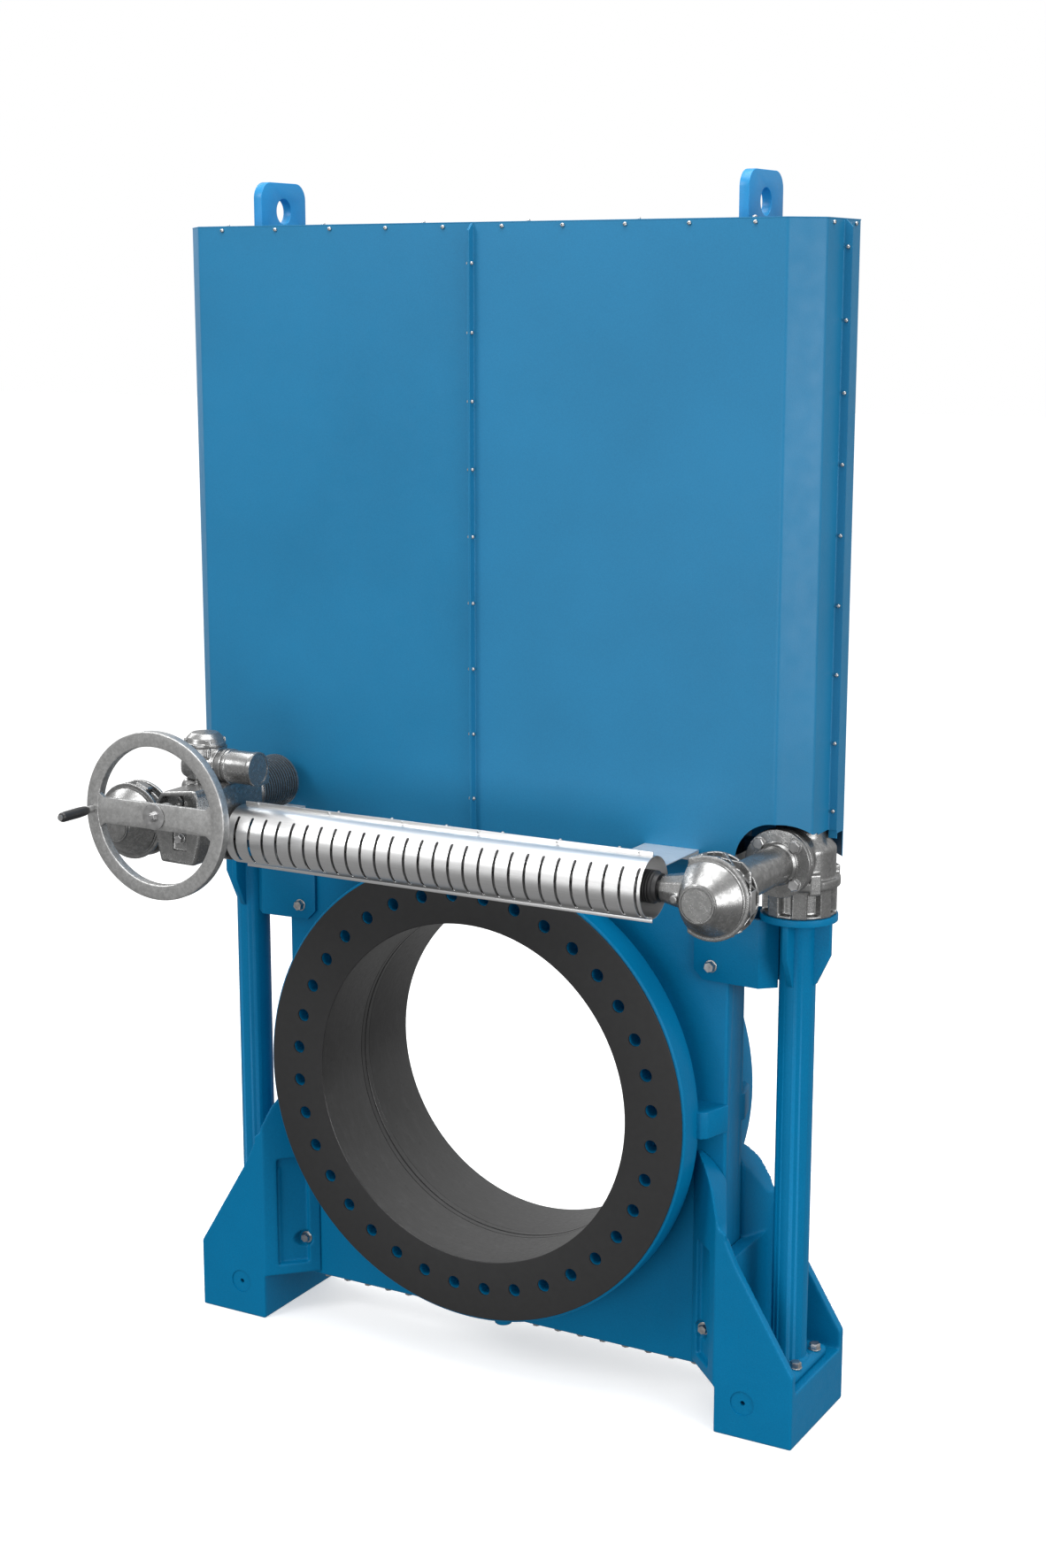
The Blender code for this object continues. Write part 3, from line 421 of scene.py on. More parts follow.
def paint(name, colour, roughness, gloss, grain, grain_depth, wave_depth):
    """Satin paint: a fine grain, slow waves and a little unevenness of colour."""
    made, tree, shader, coords = material(name, colour, 0.0, roughness)
    shader.inputs["Specular IOR Level"].default_value = gloss
    fine = noise(tree, coords, grain, 2)
    slow = noise(tree, coords, 22, 3)
    cloud = noise(tree, coords, 3.0, 2)
    patchy = maths(tree, "ADD", maths(tree, "MULTIPLY", fine, 0.55), maths(tree, "MULTIPLY", cloud, 0.45))
    tint = ramp(tree, patchy, (0.35, scaled(colour, 0.93)), (0.65, scaled(colour, 1.07)))
    tree.links.new(tint, shader.inputs["Base Color"])
    tree.links.new(spread(tree, slow, roughness - 0.04, roughness + 0.05), shader.inputs["Roughness"])
    bumped(tree, shader, (fine, grain_depth), (slow, wave_depth))
    return made


def flakes(tree, coords, scale):
    """A random value from 0 to 1 in each of about scale crystal grains a metre."""
    cells = tree.nodes.new("ShaderNodeTexVoronoi")
    cells.inputs["Scale"].default_value = scale
    parts = tree.nodes.new("ShaderNodeSeparateXYZ")
    tree.links.new(coords, cells.inputs["Vector"])
    tree.links.new(cells.outputs["Color"], parts.inputs["Vector"])
    return parts.outputs["X"]


def bare_casting(name, colour, roughness):
    """Zinc grey metal: crystal grains of different greys over a faintly pitted skin."""
    made, tree, shader, coords = material(name, colour, 0.85, roughness)
    blotch = noise(tree, coords, 55, 5, rough=0.65)
    grain = noise(tree, coords, 420, 2)
    grains = maths(tree, "MULTIPLY", flakes(tree, coords, 170), 0.15)
    crystals = maths(tree, "ADD", grains, maths(tree, "MULTIPLY", blotch, 0.85))
    mottle = ramp(tree, crystals, (0.34, scaled(colour, 0.78)), (0.50, colour), (0.66, scaled(colour, 1.28)))
    tree.links.new(mottle, shader.inputs["Base Color"])
    tree.links.new(spread(tree, crystals, roughness + 0.08, roughness - 0.06), shader.inputs["Roughness"])
    bumped(tree, shader, (grain, 0.00010), (blotch, 0.0003))
    return made


def brushed(name, colour, roughness, stretch, depth=0.00002):
    """Metal with fine brush lines drawn out along the axis whose stretch is small."""
    made, tree, shader, coords = material(name, colour, 1.0, roughness)
    lines = noise(tree, coords, 900, 2, stretch)
    broad = noise(tree, coords, 12, 2, stretch)
    tint = ramp(tree, lines, (0.3, scaled(colour, 0.93)), (0.7, scaled(colour, 1.05)))
    tree.links.new(tint, shader.inputs["Base Color"])
    tree.links.new(spread(tree, broad, roughness - 0.04, roughness + 0.06), shader.inputs["Roughness"])
    bumped(tree, shader, (lines, depth))
    return made


def machined(name, colour, roughness):
    """Plain turned steel with a little unevenness."""
    made, tree, shader, coords = material(name, colour, 1.0, roughness)
    cloud = noise(tree, coords, 70, 3)
    tint = ramp(tree, cloud, (0.3, scaled(colour, 0.85)), (0.7, scaled(colour, 1.10)))
    tree.links.new(tint, shader.inputs["Base Color"])
    tree.links.new(spread(tree, cloud, roughness - 0.05, roughness + 0.08), shader.inputs["Roughness"])
    bumped(tree, shader, (noise(tree, coords, 600, 2), 0.00004))
    return made


def moulded(name, colour, roughness, grain=500, depth=0.00008):
    """Matte rubber or plastic with a fine even grain."""
    made, tree, shader, coords = material(name, colour, 0.0, roughness)
    cloud = noise(tree, coords, 14, 4)
    tint = ramp(tree, cloud, (0.35, scaled(colour, 0.85)), (0.65, scaled(colour, 1.18)))
    tree.links.new(tint, shader.inputs["Base Color"])
    tree.links.new(spread(tree, cloud, roughness - 0.05, roughness + 0.05), shader.inputs["Roughness"])
    bumped(tree, shader, (noise(tree, coords, grain, 2), depth))
    return made


def worn_bore_with_painted_shade(name):
    """Sleeve rubber: matt on the flange, polished and scuffed by the flow inside the bore, where its colour is also
    painted far darker as painted shade.
    """
    made, tree, shader, coords = material(name, (0.030, 0.030, 0.031), 0.0, 0.55)
    parts = tree.nodes.new("ShaderNodeSeparateXYZ")
    tree.links.new(coords, parts.inputs["Vector"])
    height = maths(tree, "SUBTRACT", parts.outputs["Z"], DATUM.z)
    square = maths(tree, "MULTIPLY", parts.outputs["X"], parts.outputs["X"])
    radius = maths(tree, "SQRT", maths(tree, "ADD", square, maths(tree, "MULTIPLY", height, height)))
    inside = maths(tree, "LESS_THAN", radius, BORE_R + 0.001)
    turn = maths(tree, "ARCTAN2", height, parts.outputs["X"])
    round_bore = tree.nodes.new("ShaderNodeCombineXYZ")
    tree.links.new(turn, round_bore.inputs["X"])
    tree.links.new(parts.outputs["Y"], round_bore.inputs["Y"])
    streaks = noise(tree, round_bore.outputs["Vector"], 10, 4, (0.8, 3.2, 1), 0.60)
    scuffs = noise(tree, round_bore.outputs["Vector"], 34, 3, (0.9, 2.6, 1), 0.6)
    pits = noise(tree, coords, 48, 4)
    # inside the bore the streaks and pits are wear, but the whole ramp sits far below the flange face's colour: that
    # overall darkness is painted shade in the bore
    streaks_and_painted_shade = ramp(tree, streaks, (0.36, (0.006, 0.006, 0.0063)), (0.54, (0.009, 0.009, 0.0094)), (0.74, (0.022, 0.022, 0.023)))
    spots = ramp(tree, pits, (0.30, (0.12, 0.12, 0.12)), (0.38, (1, 1, 1)))
    marked_with_painted_shade = tree.nodes.new("ShaderNodeMix")
    marked_with_painted_shade.data_type = "RGBA"
    marked_with_painted_shade.blend_type = "MULTIPLY"
    marked_with_painted_shade.inputs["Factor"].default_value = 1.0
    tree.links.new(streaks_and_painted_shade, marked_with_painted_shade.inputs["A"])
    tree.links.new(spots, marked_with_painted_shade.inputs["B"])
    face = ramp(tree, pits, (0.35, (0.0235, 0.0235, 0.0240)), (0.65, (0.0255, 0.0255, 0.0260)))
    tree.links.new(mixed(tree, inside, face, marked_with_painted_shade.outputs["Result"]), shader.inputs["Base Color"])
    gloss = spread(tree, scuffs, 0.38, 0.28)
    tree.links.new(maths(tree, "MULTIPLY_ADD", inside, 0.65, 0.25), shader.inputs["Specular IOR Level"])
    rough = maths(tree, "ADD", maths(tree, "MULTIPLY", inside, gloss), maths(tree, "MULTIPLY", maths(tree, "SUBTRACT", 1.0, inside), 0.60))
    tree.links.new(rough, shader.inputs["Roughness"])
    bumped(tree, shader, (noise(tree, coords, 380, 2), 0.0001), (scuffs, 0.00025))
    return made


BLUE = (0.011, 0.155, 0.310)
LOOKS = {
    "sheet": (paint("blue_sheet", BLUE, 0.42, 0.26, 330, 0.00016, 0.0002), "blue_sheet"),
    "casting": (paint("blue_casting", (0.0006, 0.150, 0.320), 0.40, 0.12, 210, 0.00045, 0.0009), "blue_casting"),
    "grey": (bare_casting("grey_casting", (0.26, 0.26, 0.258), 0.28), "grey_casting"),
    "wheel": (bare_casting("wheel_casting", (0.40, 0.40, 0.396), 0.42), "grey_casting"),
    "folded": (brushed("folded_plate", (0.90, 0.90, 0.90), 0.50, (0.02, 1, 1), 0.000006), "stainless"),
    "stainless": (brushed("stainless", (0.80, 0.80, 0.80), 0.34, (0.02, 1, 1), 0.000006), "stainless"),
    "gate": (brushed("gate_steel", (0.42, 0.42, 0.43), 0.40, (1, 1, 0.02)), "stainless"),
    "steel": (machined("steel", (0.50, 0.50, 0.50), 0.32), "steel"),
    "bronze": (machined("bronze", (0.45, 0.27, 0.09), 0.32), "bronze"),
    "rubber": (moulded("rubber", (0.024, 0.024, 0.025), 0.48), "rubber"),
    "bore": (worn_bore_with_painted_shade("sleeve_rubber"), "rubber"),
    "lug": (paint("lug_paint", (0.014, 0.205, 0.440), 0.34, 0.30, 330, 0.00012, 0.0002), "blue_sheet"),
    "plastic": (moulded("black_plastic", (0.014, 0.014, 0.015), 0.40, 700, 0.00005), "black_plastic"),
}


# ---- the body and the sleeves ----
def bolt_circle():
    """The angles of the flange bolts, which straddle the centre lines."""
    return [2 * pi * (k + 0.5) / BOLTS for k in range(BOLTS)]


def bolt_holes(low, high):
    bm = bmesh.new()
    for a in bolt_circle():
        place = Matrix.Translation((BOLT_CIRCLE_R * cos(a), 0, BOLT_CIRCLE_R * sin(a)))
        hole = [(0, low), (BOLT_HOLE_R, low), (BOLT_HOLE_R, high), (0, high)]
        add_turned(bm, place @ axes("Y"), hole, 24)
    return shape(bm)


def along(sign, near, far):
    """Two distances from the middle plane as (low, high) on one face's side."""
    return tuple(sorted((sign * near, sign * far)))


def body_half(face, sign):
    metal_face = FACE_Y - RUBBER_T - 0.0003
    slab_low, slab_high = along(sign, 0.0, SLAB_Y)
    slab = block((-SLAB_X, slab_low, SLAB_LOW), (SLAB_X, slab_high, SLAB_TOP))
    weight = slab.modifiers.new("round", "BEVEL")
    weight.width = 0.009
    weight.segments = 3
    weight.limit_method = "WEIGHT"
    attribute = slab.data.attributes.new("bevel_weight_edge", "FLOAT", "EDGE")
    for edge in slab.data.edges:
        on_face = all(abs(slab.data.vertices[v].co.y) > SLAB_Y / 2 for v in edge.vertices)
        attribute.data[edge.index].value = 1.0 if on_face else 0.0
    baked(slab)
    section = [(0, sign * 0.03), (NECK_R, sign * 0.03), (NECK_R, sign * FLANGE_BACK)]
    section += [(FLANGE_R, sign * FLANGE_BACK), (FLANGE_R, sign * metal_face), (0, sign * metal_face)]
    flange = turned(soft(section, 0.006), "Y", steps=144)
    rib = [(0.62, 0.05), (0.62, 0.165), (0.748, 0.165), (0.764, 0.150), (0.790, 0.060), (0.775, 0.03)]
    ribs = []
    for _, side in SIDES:
        outline = [(side * u, sign * v) for u, v in rib]
        ribs.append(rounded(plate(outline, "Z", -0.040, 0.045), 0.005))
    drain = turned(disc(0.028, 0, 0.040, 0.004), "-Z", (0, sign * 0.034, SLAB_LOW + 0.010), 32)
    union(slab, flange, drain, *ribs)
    low, high = along(sign, -0.01, metal_face + 0.02)
    bore = turned([(0, low), (BARREL_R + 0.0003, low), (BARREL_R + 0.0003, high), (0, high)], "Y", steps=144)
    pocket = block((-0.632, -0.0215, -0.640), (0.632, 0.0215, SLAB_TOP + 0.02))
    packing = block((-0.660, -0.040, 0.720), (0.660, 0.040, SLAB_TOP + 0.02))
    low, high = along(sign, metal_face - 0.065, metal_face + 0.01)
    cut(slab, bore, pocket, packing, bolt_holes(low, high))
    finish(slab, "body_" + face, "casting", replaces=["body_half_" + face])
    heads = [(sx * (0.04 + 0.08 * k), sign * 0.030, SLAB_LOW) for k in range(9) for sx in (-1, 1)]
    heads = [p for p in heads if abs(p[0]) > 0.05]
    finish(hexes(heads, "-Z", 0.024, 0.014), "body_bolts_" + face, "steel")


def sleeve(face, sign):
    back = FACE_Y - RUBBER_T
    section = [(BORE_R, sign * 0.0216), (BARREL_R, sign * 0.0216), (BARREL_R, sign * back)]
    section += [(RUBBER_R, sign * back), (RUBBER_R, sign * FACE_Y), (BORE_R, sign * FACE_Y)]
    body = turned(soft(section, 0.003), "Y", steps=144)
    low, high = along(sign, back - 0.03, FACE_Y + 0.01)
    cut(body, bolt_holes(low, high))
    finish(body, "rubber_sleeve_" + face, "bore", replaces=["sleeve_" + face])


def sleeve_lip(face, sign):
    """The sleeve's nose. It meets the other one in a thin seam."""
    root, nose = 0.0215, 0.0002
    section = [(BARREL_R, sign * root), (BORE_R, sign * root), (BORE_R, sign * (nose + 0.004))]
    section += [(BORE_R + 0.0035, sign * nose), (BARREL_R, sign * nose)]
    lip = turned(section, "Y", steps=144)
    finish(lip, "rubber_lip_" + face, "bore", replaces=["sleeve_lip_" + face], sharp=20)
    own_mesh(lip)


# ---- feet, columns and brackets ----
def foot(side, sign):
    """A cast foot: a base, two webs beside the column, and two wings that reach to the body."""
    low_x, high_x = sorted((sign * FOOT_IN, sign * FOOT_OUT))
    base = block((low_x, -FOOT_Y, FOOT_LOW), (high_x, FOOT_Y, FOOT_LEDGE))
    wall_x = sorted((sign * (SLAB_X + 0.002), sign * (FOOT_IN + 0.004)))
    wall_top, wing_low = -0.420, -0.790
    joined = [block((wall_x[0], -0.155, wing_low), (wall_x[1], 0.155, wall_top))]
    joined.append(block((sign * 0.824 - 0.008, -FOOT_Y + 0.012, wing_low), (sign * 0.824 + 0.008, FOOT_Y - 0.012, wall_top)))
    web = [(0.820, wing_low), (1.073, wing_low), (1.073, -0.710), (0.885, -0.400), (0.852, -0.330), (0.820, -0.290)]
    wing_plan = [(0.683, 0.0645), (0.683, 0.068), (0.817, FOOT_Y), (0.850, FOOT_Y), (0.850, 0.190), (0.790, 0.0645)]
    wing_side = [(0.66, wing_low), (0.90, wing_low), (0.90, -0.345), (0.830, -0.290)]
    wing_side += arc((0.600, -0.300), 0.220, 25, 62, 10) + [(0.66, -0.110)]
    # each wing's slanted face has a pocket, with a counterbore for the bolt into the body
    pocket_plan = [(0.675, 0.130), (0.749, 0.204), (0.796, 0.157), (0.722, 0.083)]
    for _, turn in FACES:
        low, high = along(turn, FOOT_Y - 0.028, FOOT_Y)
        joined.append(plate(flip(web, sign), "Y", low, high))
        wing = plate([(sign * u, turn * v) for u, v in wing_plan], "Z", wing_low, -0.110)
        combined(wing, [plate(flip(wing_side, sign), "Y", -0.30, 0.30)], "INTERSECT")
        pocket = plate([(sign * u, turn * v) for u, v in pocket_plan], "Z", -0.752, -0.385)
        low, high = along(turn, 0.078, 0.160)
        bore = turned([(0, low), (0.027, low), (0.027, high), (0, high)], "Y", (sign * 0.730, 0, -0.674), 32)
        joined.append(cut(wing, pocket, bore))
    cast(base, joined, 0.0042, 5)
    # a sunk disc with a small hole in the front and rear faces
    marks = []
    for _, turn in FACES:
        x, z = sign * 0.914, -0.825
        low, high = along(turn, FOOT_Y - 0.0035, FOOT_Y + 0.01)
        marks.append(turned([(0, low), (0.0375, low), (0.0390, high), (0, high)], "Y", (x, 0, z), 40))
        low, high = along(turn, FOOT_Y - 0.03, FOOT_Y + 0.01)
        marks.append(turned([(0, low), (0.0080, low), (0.0080, high), (0, high)], "Y", (x, 0, z), 16))
    finish(cut(base, *marks), "casting_foot_" + side, "casting", replaces=["foot_" + side], sharp=50)


def foot_bolts():
    for side, sign in SIDES:
        bm = bmesh.new()
        for _, turn in FACES:
            place = Matrix.Translation((sign * 0.730, turn * 0.0785, -0.674))
            add_hex(bm, place @ axes("Y" if turn > 0 else "-Y"), 0.027, 0.018, washer=1.3, start=0.4)
        for x in (-0.055, 0.055):
            for y in (-0.074, 0.074):
                place = Matrix.Translation((sign * STEM_X + x, y, -0.735))
                add_hex(bm, place, 0.030, 0.020, start=1.3 * x / 0.055 + y / 0.074)
        finish(shape(bm), "foot_bolts_" + side, "steel")


def column(side, sign):
    x = sign * STEM_X
    section = [(0.042, -0.745), (0.054, -0.745), (0.054, 0.630), (0.1135, 0.630), (0.1135, 0.650), (0.042, 0.650)]
    pipe = turned(soft(section, 0.002), "Z", (x, 0, 0), 64)
    base = rounded(block((x - 0.075, -0.132, FOOT_LEDGE - 0.004), (x + 0.075, 0.132, -0.735)), 0.020, 4, 60)
    hole = turned([(0, -0.9), (0.042, -0.9), (0.042, -0.6), (0, -0.6)], "Z", (x, 0, 0), 48)
    cut(base, hole)
    weld = turned(soft([(0.042, -0.737), (0.062, -0.737), (0.0545, -0.729), (0.042, -0.729)], 0.002), "Z", (x, 0, 0), 64)
    fins = []
    fin = [(0.046, 0.430), (0.060, 0.440), (0.102, 0.530), (0.102, 0.635), (0.046, 0.635)]
    for turn in (-1, 1):
        fins.append(rounded(plate([(x + turn * u, v) for u, v in fin], "Y", -0.009, 0.009), 0.002))
        fins.append(rounded(plate([(turn * u, v) for u, v in fin], "X", x - 0.009, x + 0.009), 0.002))
    union(pipe, base, weld, *fins)
    finish(pipe, "column_post_" + side, "casting", replaces=["column_" + side])


def brackets():
    """Bent plates from the body to the columns, with a hex bolt in each."""
    thick, inner = 0.0127, SLAB_Y + 0.0003
    plan = [(0.675, inner), (0.675, inner + thick), (0.8835, inner + thick)]
    plan += [(0.9280, inner + thick - 0.0445), (0.9190, inner + thick - 0.0535), (0.8782, inner)]
    view = [(0.60, 0.70), (0.60, 0.455), (0.675, 0.455), (0.705, 0.425), (0.95, 0.420), (0.95, 0.70)]
    for face, turn in FACES:
        for side, sign in SIDES:
            label = face + "_" + side
            bent = plate([(sign * u, turn * v) for u, v in plan], "Z", 0.400, 0.6295)
            combined(bent, [plate(flip(view, sign), "Y", -0.2, 0.2)], "INTERSECT")
            finish(rounded(bent, 0.0015, 2), "column_bracket_" + label, "casting", replaces=["bracket_plate_" + label])
            place = [(sign * 0.732, turn * (inner + thick), 0.470)]
            finish(hexes(place, "Y" if turn > 0 else "-Y", 0.030, 0.019), "bracket_bolt_" + label, "steel")


# ---- gearboxes and tubes ----
def column_gearbox(side, sign):
    x = sign * STEM_X
    base = 0.6503
    drum = turned(soft([(0, base), (0.087, base), (0.087, 0.740), (0, 0.740)], 0.002), "Z", (x, 0, 0), 64)
    lip = turned(ring(0.05, 0.106, base, base + 0.010, 0.002), "Z", (x, 0, 0), 64)
    dome = [(0, 0.74), (0.104, 0.74), (0.104, 0.850), (0.080, 0.878), (0.072, 0.905), (0.046, 0.946), (0, 0.946)]
    flange = turned(ring(0.05, 0.118, 0.737, 0.763, 0.004), "Z", (x, 0, 0), 96)
    parts = [turned(soft(dome, 0.006, 4), "Z", (x, 0, 0), 64), flange, lip]
    for k in range(8):
        a = pi / 8 + k * pi / 4
        pad = block((0.075, -0.021, base), (0.108, 0.021, 0.742))
        pad.data.transform(Matrix.Translation((x, 0, 0)) @ Matrix.Rotation(a, 4, "Z"))
        parts.append(pad)
    for k in range(4):
        a = pi / 4 + k * pi / 2
        ear = block((0.086, -0.017, 0.725), (0.119, 0.017, 0.787))
        ear.data.transform(Matrix.Translation((x, 0, 0)) @ Matrix.Rotation(a, 4, "Z"))
        parts.append(ear)
    nozzle = [(0, -0.152), (0.099, -0.152), (0.099, -0.134), (0.080, -0.128), (0.076, -0.080), (0.076, 0), (0, 0)]
    parts.append(turned(nozzle, "Y", (x, 0, SHAFT_Z), 64))
    throat = turned([(0, -0.2), (0.045, -0.2), (0.045, -0.05), (0, -0.05)], "Y", (x, 0, SHAFT_Z), 32)
    stem_room = turned([(0, 0.6), (0.034, 0.6), (0.034, 1.0), (0, 1.0)], "Z", (x, 0, 0), 48)
    nut_room = turned([(0, 0.6), (0.046, 0.6), (0.046, 0.665), (0, 0.665)], "Z", (x, 0, 0), 48)
    cut(cast(drum, parts, 0.0026, 3), throat, stem_room, nut_room)
    finish(drum, "bevel_housing_" + side, "grey", replaces=["column_gearbox_" + side], sharp=55)


def output_tube(side, sign):
    x = sign * STEM_X
    outer = [(0.045, -0.4997), (0.055, -0.4997), (0.055, -0.186), (0.062, -0.180), (0.062, -0.172), (0.100, -0.172)]
    section = outer + [(0.100, -0.155), (0.045, -0.155)]
    tube = turned(soft(section, 0.0025), "Y", (x, 0, SHAFT_Z), 96)
    finish(tube, "drive_tube_" + side, "grey", replaces=["output_tube_" + side])
    places = [(x + 0.078 * cos(a), -0.172, SHAFT_Z + 0.078 * sin(a)) for a in [pi / 4 + k * pi / 2 for k in range(4)]]
    finish(hexes(places, "-Y", 0.030, 0.013), "tube_bolts_" + side, "steel")


def corner_gearbox(side, sign):
    """The bevel box at a corner: a ribbed drum, a coned cover with a disc, and a flared input."""
    x = sign * STEM_X
    split = SHAFT_Y - 0.050
    flat = sorted((sign * 0.80, sign * 0.913))

    def flattened(obj):
        """Cut away what reaches past the right gearbox's flat on the input side."""
        return obj if sign < 0 else cut(obj, block((flat[0], -0.80, 0.65), (flat[1], -0.40, 1.00)))

    core = [(0, split), (0.096, split), (0.096, SHAFT_Y + 0.022), (0.093, SHAFT_Y + 0.045)]
    core += [(0.080, SHAFT_Y + 0.066), (0.060, SHAFT_Y + 0.081), (0, SHAFT_Y + 0.081)]
    drum = flattened(turned(soft(core, 0.008, 4), "Y", (x, 0, SHAFT_Z), 72))
    parts = []
    for low, high in ((split, split + 0.010), (SHAFT_Y + 0.008, SHAFT_Y + 0.018)):
        parts.append(flattened(turned(ring(0.06, 0.118, low, high, 0.002), "Y", (x, 0, SHAFT_Z), 96)))
    for k in range(8):
        a = pi / 8 + k * pi / 4
        if -sign * cos(a) > 0.3:
            continue
        for lean in (-1, 1):
            rib = block((0.088, -0.040, -0.0034), (0.1168, 0.040, 0.0034))
            tilt = Matrix.Rotation(lean * radians(47), 4, "X")
            rib.data.transform(Matrix.Rotation(-a, 4, "Y") @ tilt)
            rib.data.transform(Matrix.Translation((x, SHAFT_Y - 0.016, SHAFT_Z)))
            parts.append(cut(rib, block((x - 0.2, -0.60 + 0.045, 0.6), (x + 0.2, -0.45, 1.1))))
    ear = rounded(block((-0.030, -0.012, 0.085), (0.020, 0.020, 0.121)), 0.006)
    ear.data.transform(Matrix.Translation((x, SHAFT_Y - 0.025, SHAFT_Z)) @ Matrix.Rotation(-sign * radians(22), 4, "Y"))
    parts.append(ear)
    # the input: a faceted flare that narrows away from the drum
    flare = [(0, 0.818), (0.038, 0.818), (0.043, 0.842), (0.049, 0.872), (0.057, 0.912), (0.072, 0.927), (0, 0.935)]
    parts.append(turned([(r, sign * s) for r, s in flare], "X", (0, SHAFT_Y, SHAFT_Z), 10, pi / 10))
    parts.append(turned(disc(0.0128, -0.020, 0.012, 0.002), "-Y", (sign * 0.874, SHAFT_Y - 0.048, 0.816), 28))
    passage = turned([(0, 0.79), (0.030, 0.79), (0.030, 0.92), (0, 0.92)], "X", (0, SHAFT_Y, SHAFT_Z), 32)
    if sign < 0:
        passage.data.transform(Matrix.Scale(-1, 4, (1, 0, 0)))
    throat = turned([(0, SHAFT_Y + 0.03), (0.045, SHAFT_Y + 0.03), (0.045, -0.4), (0, -0.4)], "Y", (x, 0, SHAFT_Z), 32)
    cut(cast(drum, parts, 0.0022, 2), passage, throat)
    finish(drum, "corner_housing_" + side, "grey", replaces=["corner_gearbox_" + side], sharp=55)
    # the cover: a cone with a groove at its wide end and a grooved disc at its narrow one
    back = split - 0.0003
    bell = [(0, SHAFT_Y - 0.121), (0.052, SHAFT_Y - 0.121), (0.0555, SHAFT_Y - 0.119), (0.1025, split - 0.0080)]
    bell += [(0.1030, split - 0.0065), (0.0985, split - 0.0060), (0.0985, split - 0.0032), (0.1075, split - 0.0028)]
    bell += [(0.1075, back), (0, back)]
    cover = flattened(turned(soft(bell, 0.0012, 2), "Y", (x, 0, SHAFT_Z), 128))
    rim = [(0, -0.1255), (0.0440, -0.1255), (0.0445, -0.1235), (0.0470, -0.1235), (0.0475, -0.127), (0.0500, -0.127)]
    rim += [(0.0512, -0.1262), (0.0512, -0.110), (0, -0.110)]
    union(cover, turned([(r, SHAFT_Y + v) for r, v in rim], "Y", (x, 0, SHAFT_Z), 96))
    finish(cover, "gearbox_cover_" + side, "grey", replaces=["corner_cover_" + side], sharp=30)
    label = rounded(block((0.1165, -0.020, -0.032), (0.1195, 0.012, 0.032)), 0.0012)
    label.data.transform(Matrix.Translation((x, SHAFT_Y - 0.022, SHAFT_Z)) @ Matrix.Rotation(0 if sign > 0 else pi, 4, "Z"))
    finish(label, "blank_plate_" + side, "steel")


# ---- the cross drive: coupling, guard and its brackets ----
def drive_shaft():
    """The rubber coupling beside the right gearbox."""
    near, far = span("shaft_coupling", "X")
    section = [(0.0223, near), (0.030, near)]
    for k in range(4):
        x = near + 0.004 + 0.0082 * k
        section += [(0.046, x), (0.046, x + 0.0053), (0.0415, x + 0.0062), (0.0415, x + 0.0072)]
    section += [(0.046, far - 0.021), (0.046, far - 0.015), (0.040, far - 0.012), (0.040, far), (0.0223, far)]
    grooved = turned(soft(section, 0.0012, 2), "X", (0, SHAFT_Y, SHAFT_Z), 72)
    finish(grooved, "shaft_coupling", "rubber", "cross_shaft", ["shaft_coupling"])


GUARD_R, GUARD_WALL, GUARD_Z = 0.088, 0.002, 0.826


def guard_slots(x0, x1):
    """The round-ended slots that are cut in the front shell while it is flat."""
    width, count = 0.009, 28
    first, last = x0 + 0.032, x1 - 0.014
    low, high = -radians(55) * GUARD_R, radians(48) * GUARD_R
    bm = bmesh.new()
    for k in range(count):
        x = first + k * (last - first) / (count - 1)
        points = arc((x, high - width / 2), width / 2, 0, 180, 8)
        points += arc((x, low + width / 2), width / 2, 180, 360, 8)
        near = [bm.verts.new((u, v, -0.01)) for u, v in points]
        far = [bm.verts.new((u, v, 0.01)) for u, v in points]
        bm.faces.new(near)
        bm.faces.new(reversed(far))
        for n in range(len(points)):
            m = (n + 1) % len(points)
            bm.faces.new((near[m], near[n], far[n], far[m]))
    return shape(bm)


def guard_shell(face, turn):
    """Half of the guard: cut flat, then rolled round the shaft."""
    x0, x1 = span("shaft_guard_front", "X")
    middle_r = GUARD_R - GUARD_WALL / 2
    half = middle_r * pi / 2
    flat = block((x0, -half + 0.0004, 0), (x1, half - 0.0004, GUARD_WALL))
    if face == "front":
        cut(flat, guard_slots(x0, x1))
    bm = bmesh.new()
    bm.from_mesh(flat.data)
    steps = 48
    for k in range(1, steps):
        where = (0, -half + 2 * half * k / steps, 0)
        everything = bm.verts[:] + bm.edges[:] + bm.faces[:]
        bmesh.ops.bisect_plane(bm, geom=everything, plane_co=where, plane_no=(0, 1, 0))
    for vert in bm.verts:
        x, s, t = vert.co
        a, r = s / middle_r, GUARD_R - GUARD_WALL + t
        vert.co = (x, SHAFT_Y + turn * r * cos(a), GUARD_Z + r * sin(a))
    bmesh.ops.recalc_face_normals(bm, faces=bm.faces)
    bm.to_mesh(flat.data)
    bm.free()
    finish(flat, "guard_shell_" + face, "stainless", replaces=["shaft_guard_" + face], sharp=30)


def guard_lips(face, turn):
    """The lips where the half shells meet, a little shorter than the shells."""
    x0, x1 = span("shaft_guard_front", "X")
    inset, height = 0.015, 0.012
    for label, up in (("lower", -1), ("upper", 1)):
        y = sorted((SHAFT_Y + turn * 0.00015, SHAFT_Y + turn * GUARD_WALL))
        z = sorted((GUARD_Z + up * (GUARD_R - 0.004), GUARD_Z + up * (GUARD_R + height)))
        lip = rounded(block((x0 + inset, y[0], z[0]), (x1 - 0.004, y[1], z[1])), 0.0006, 2)
        finish(lip, "guard_lip_" + label + "_" + face, "stainless")


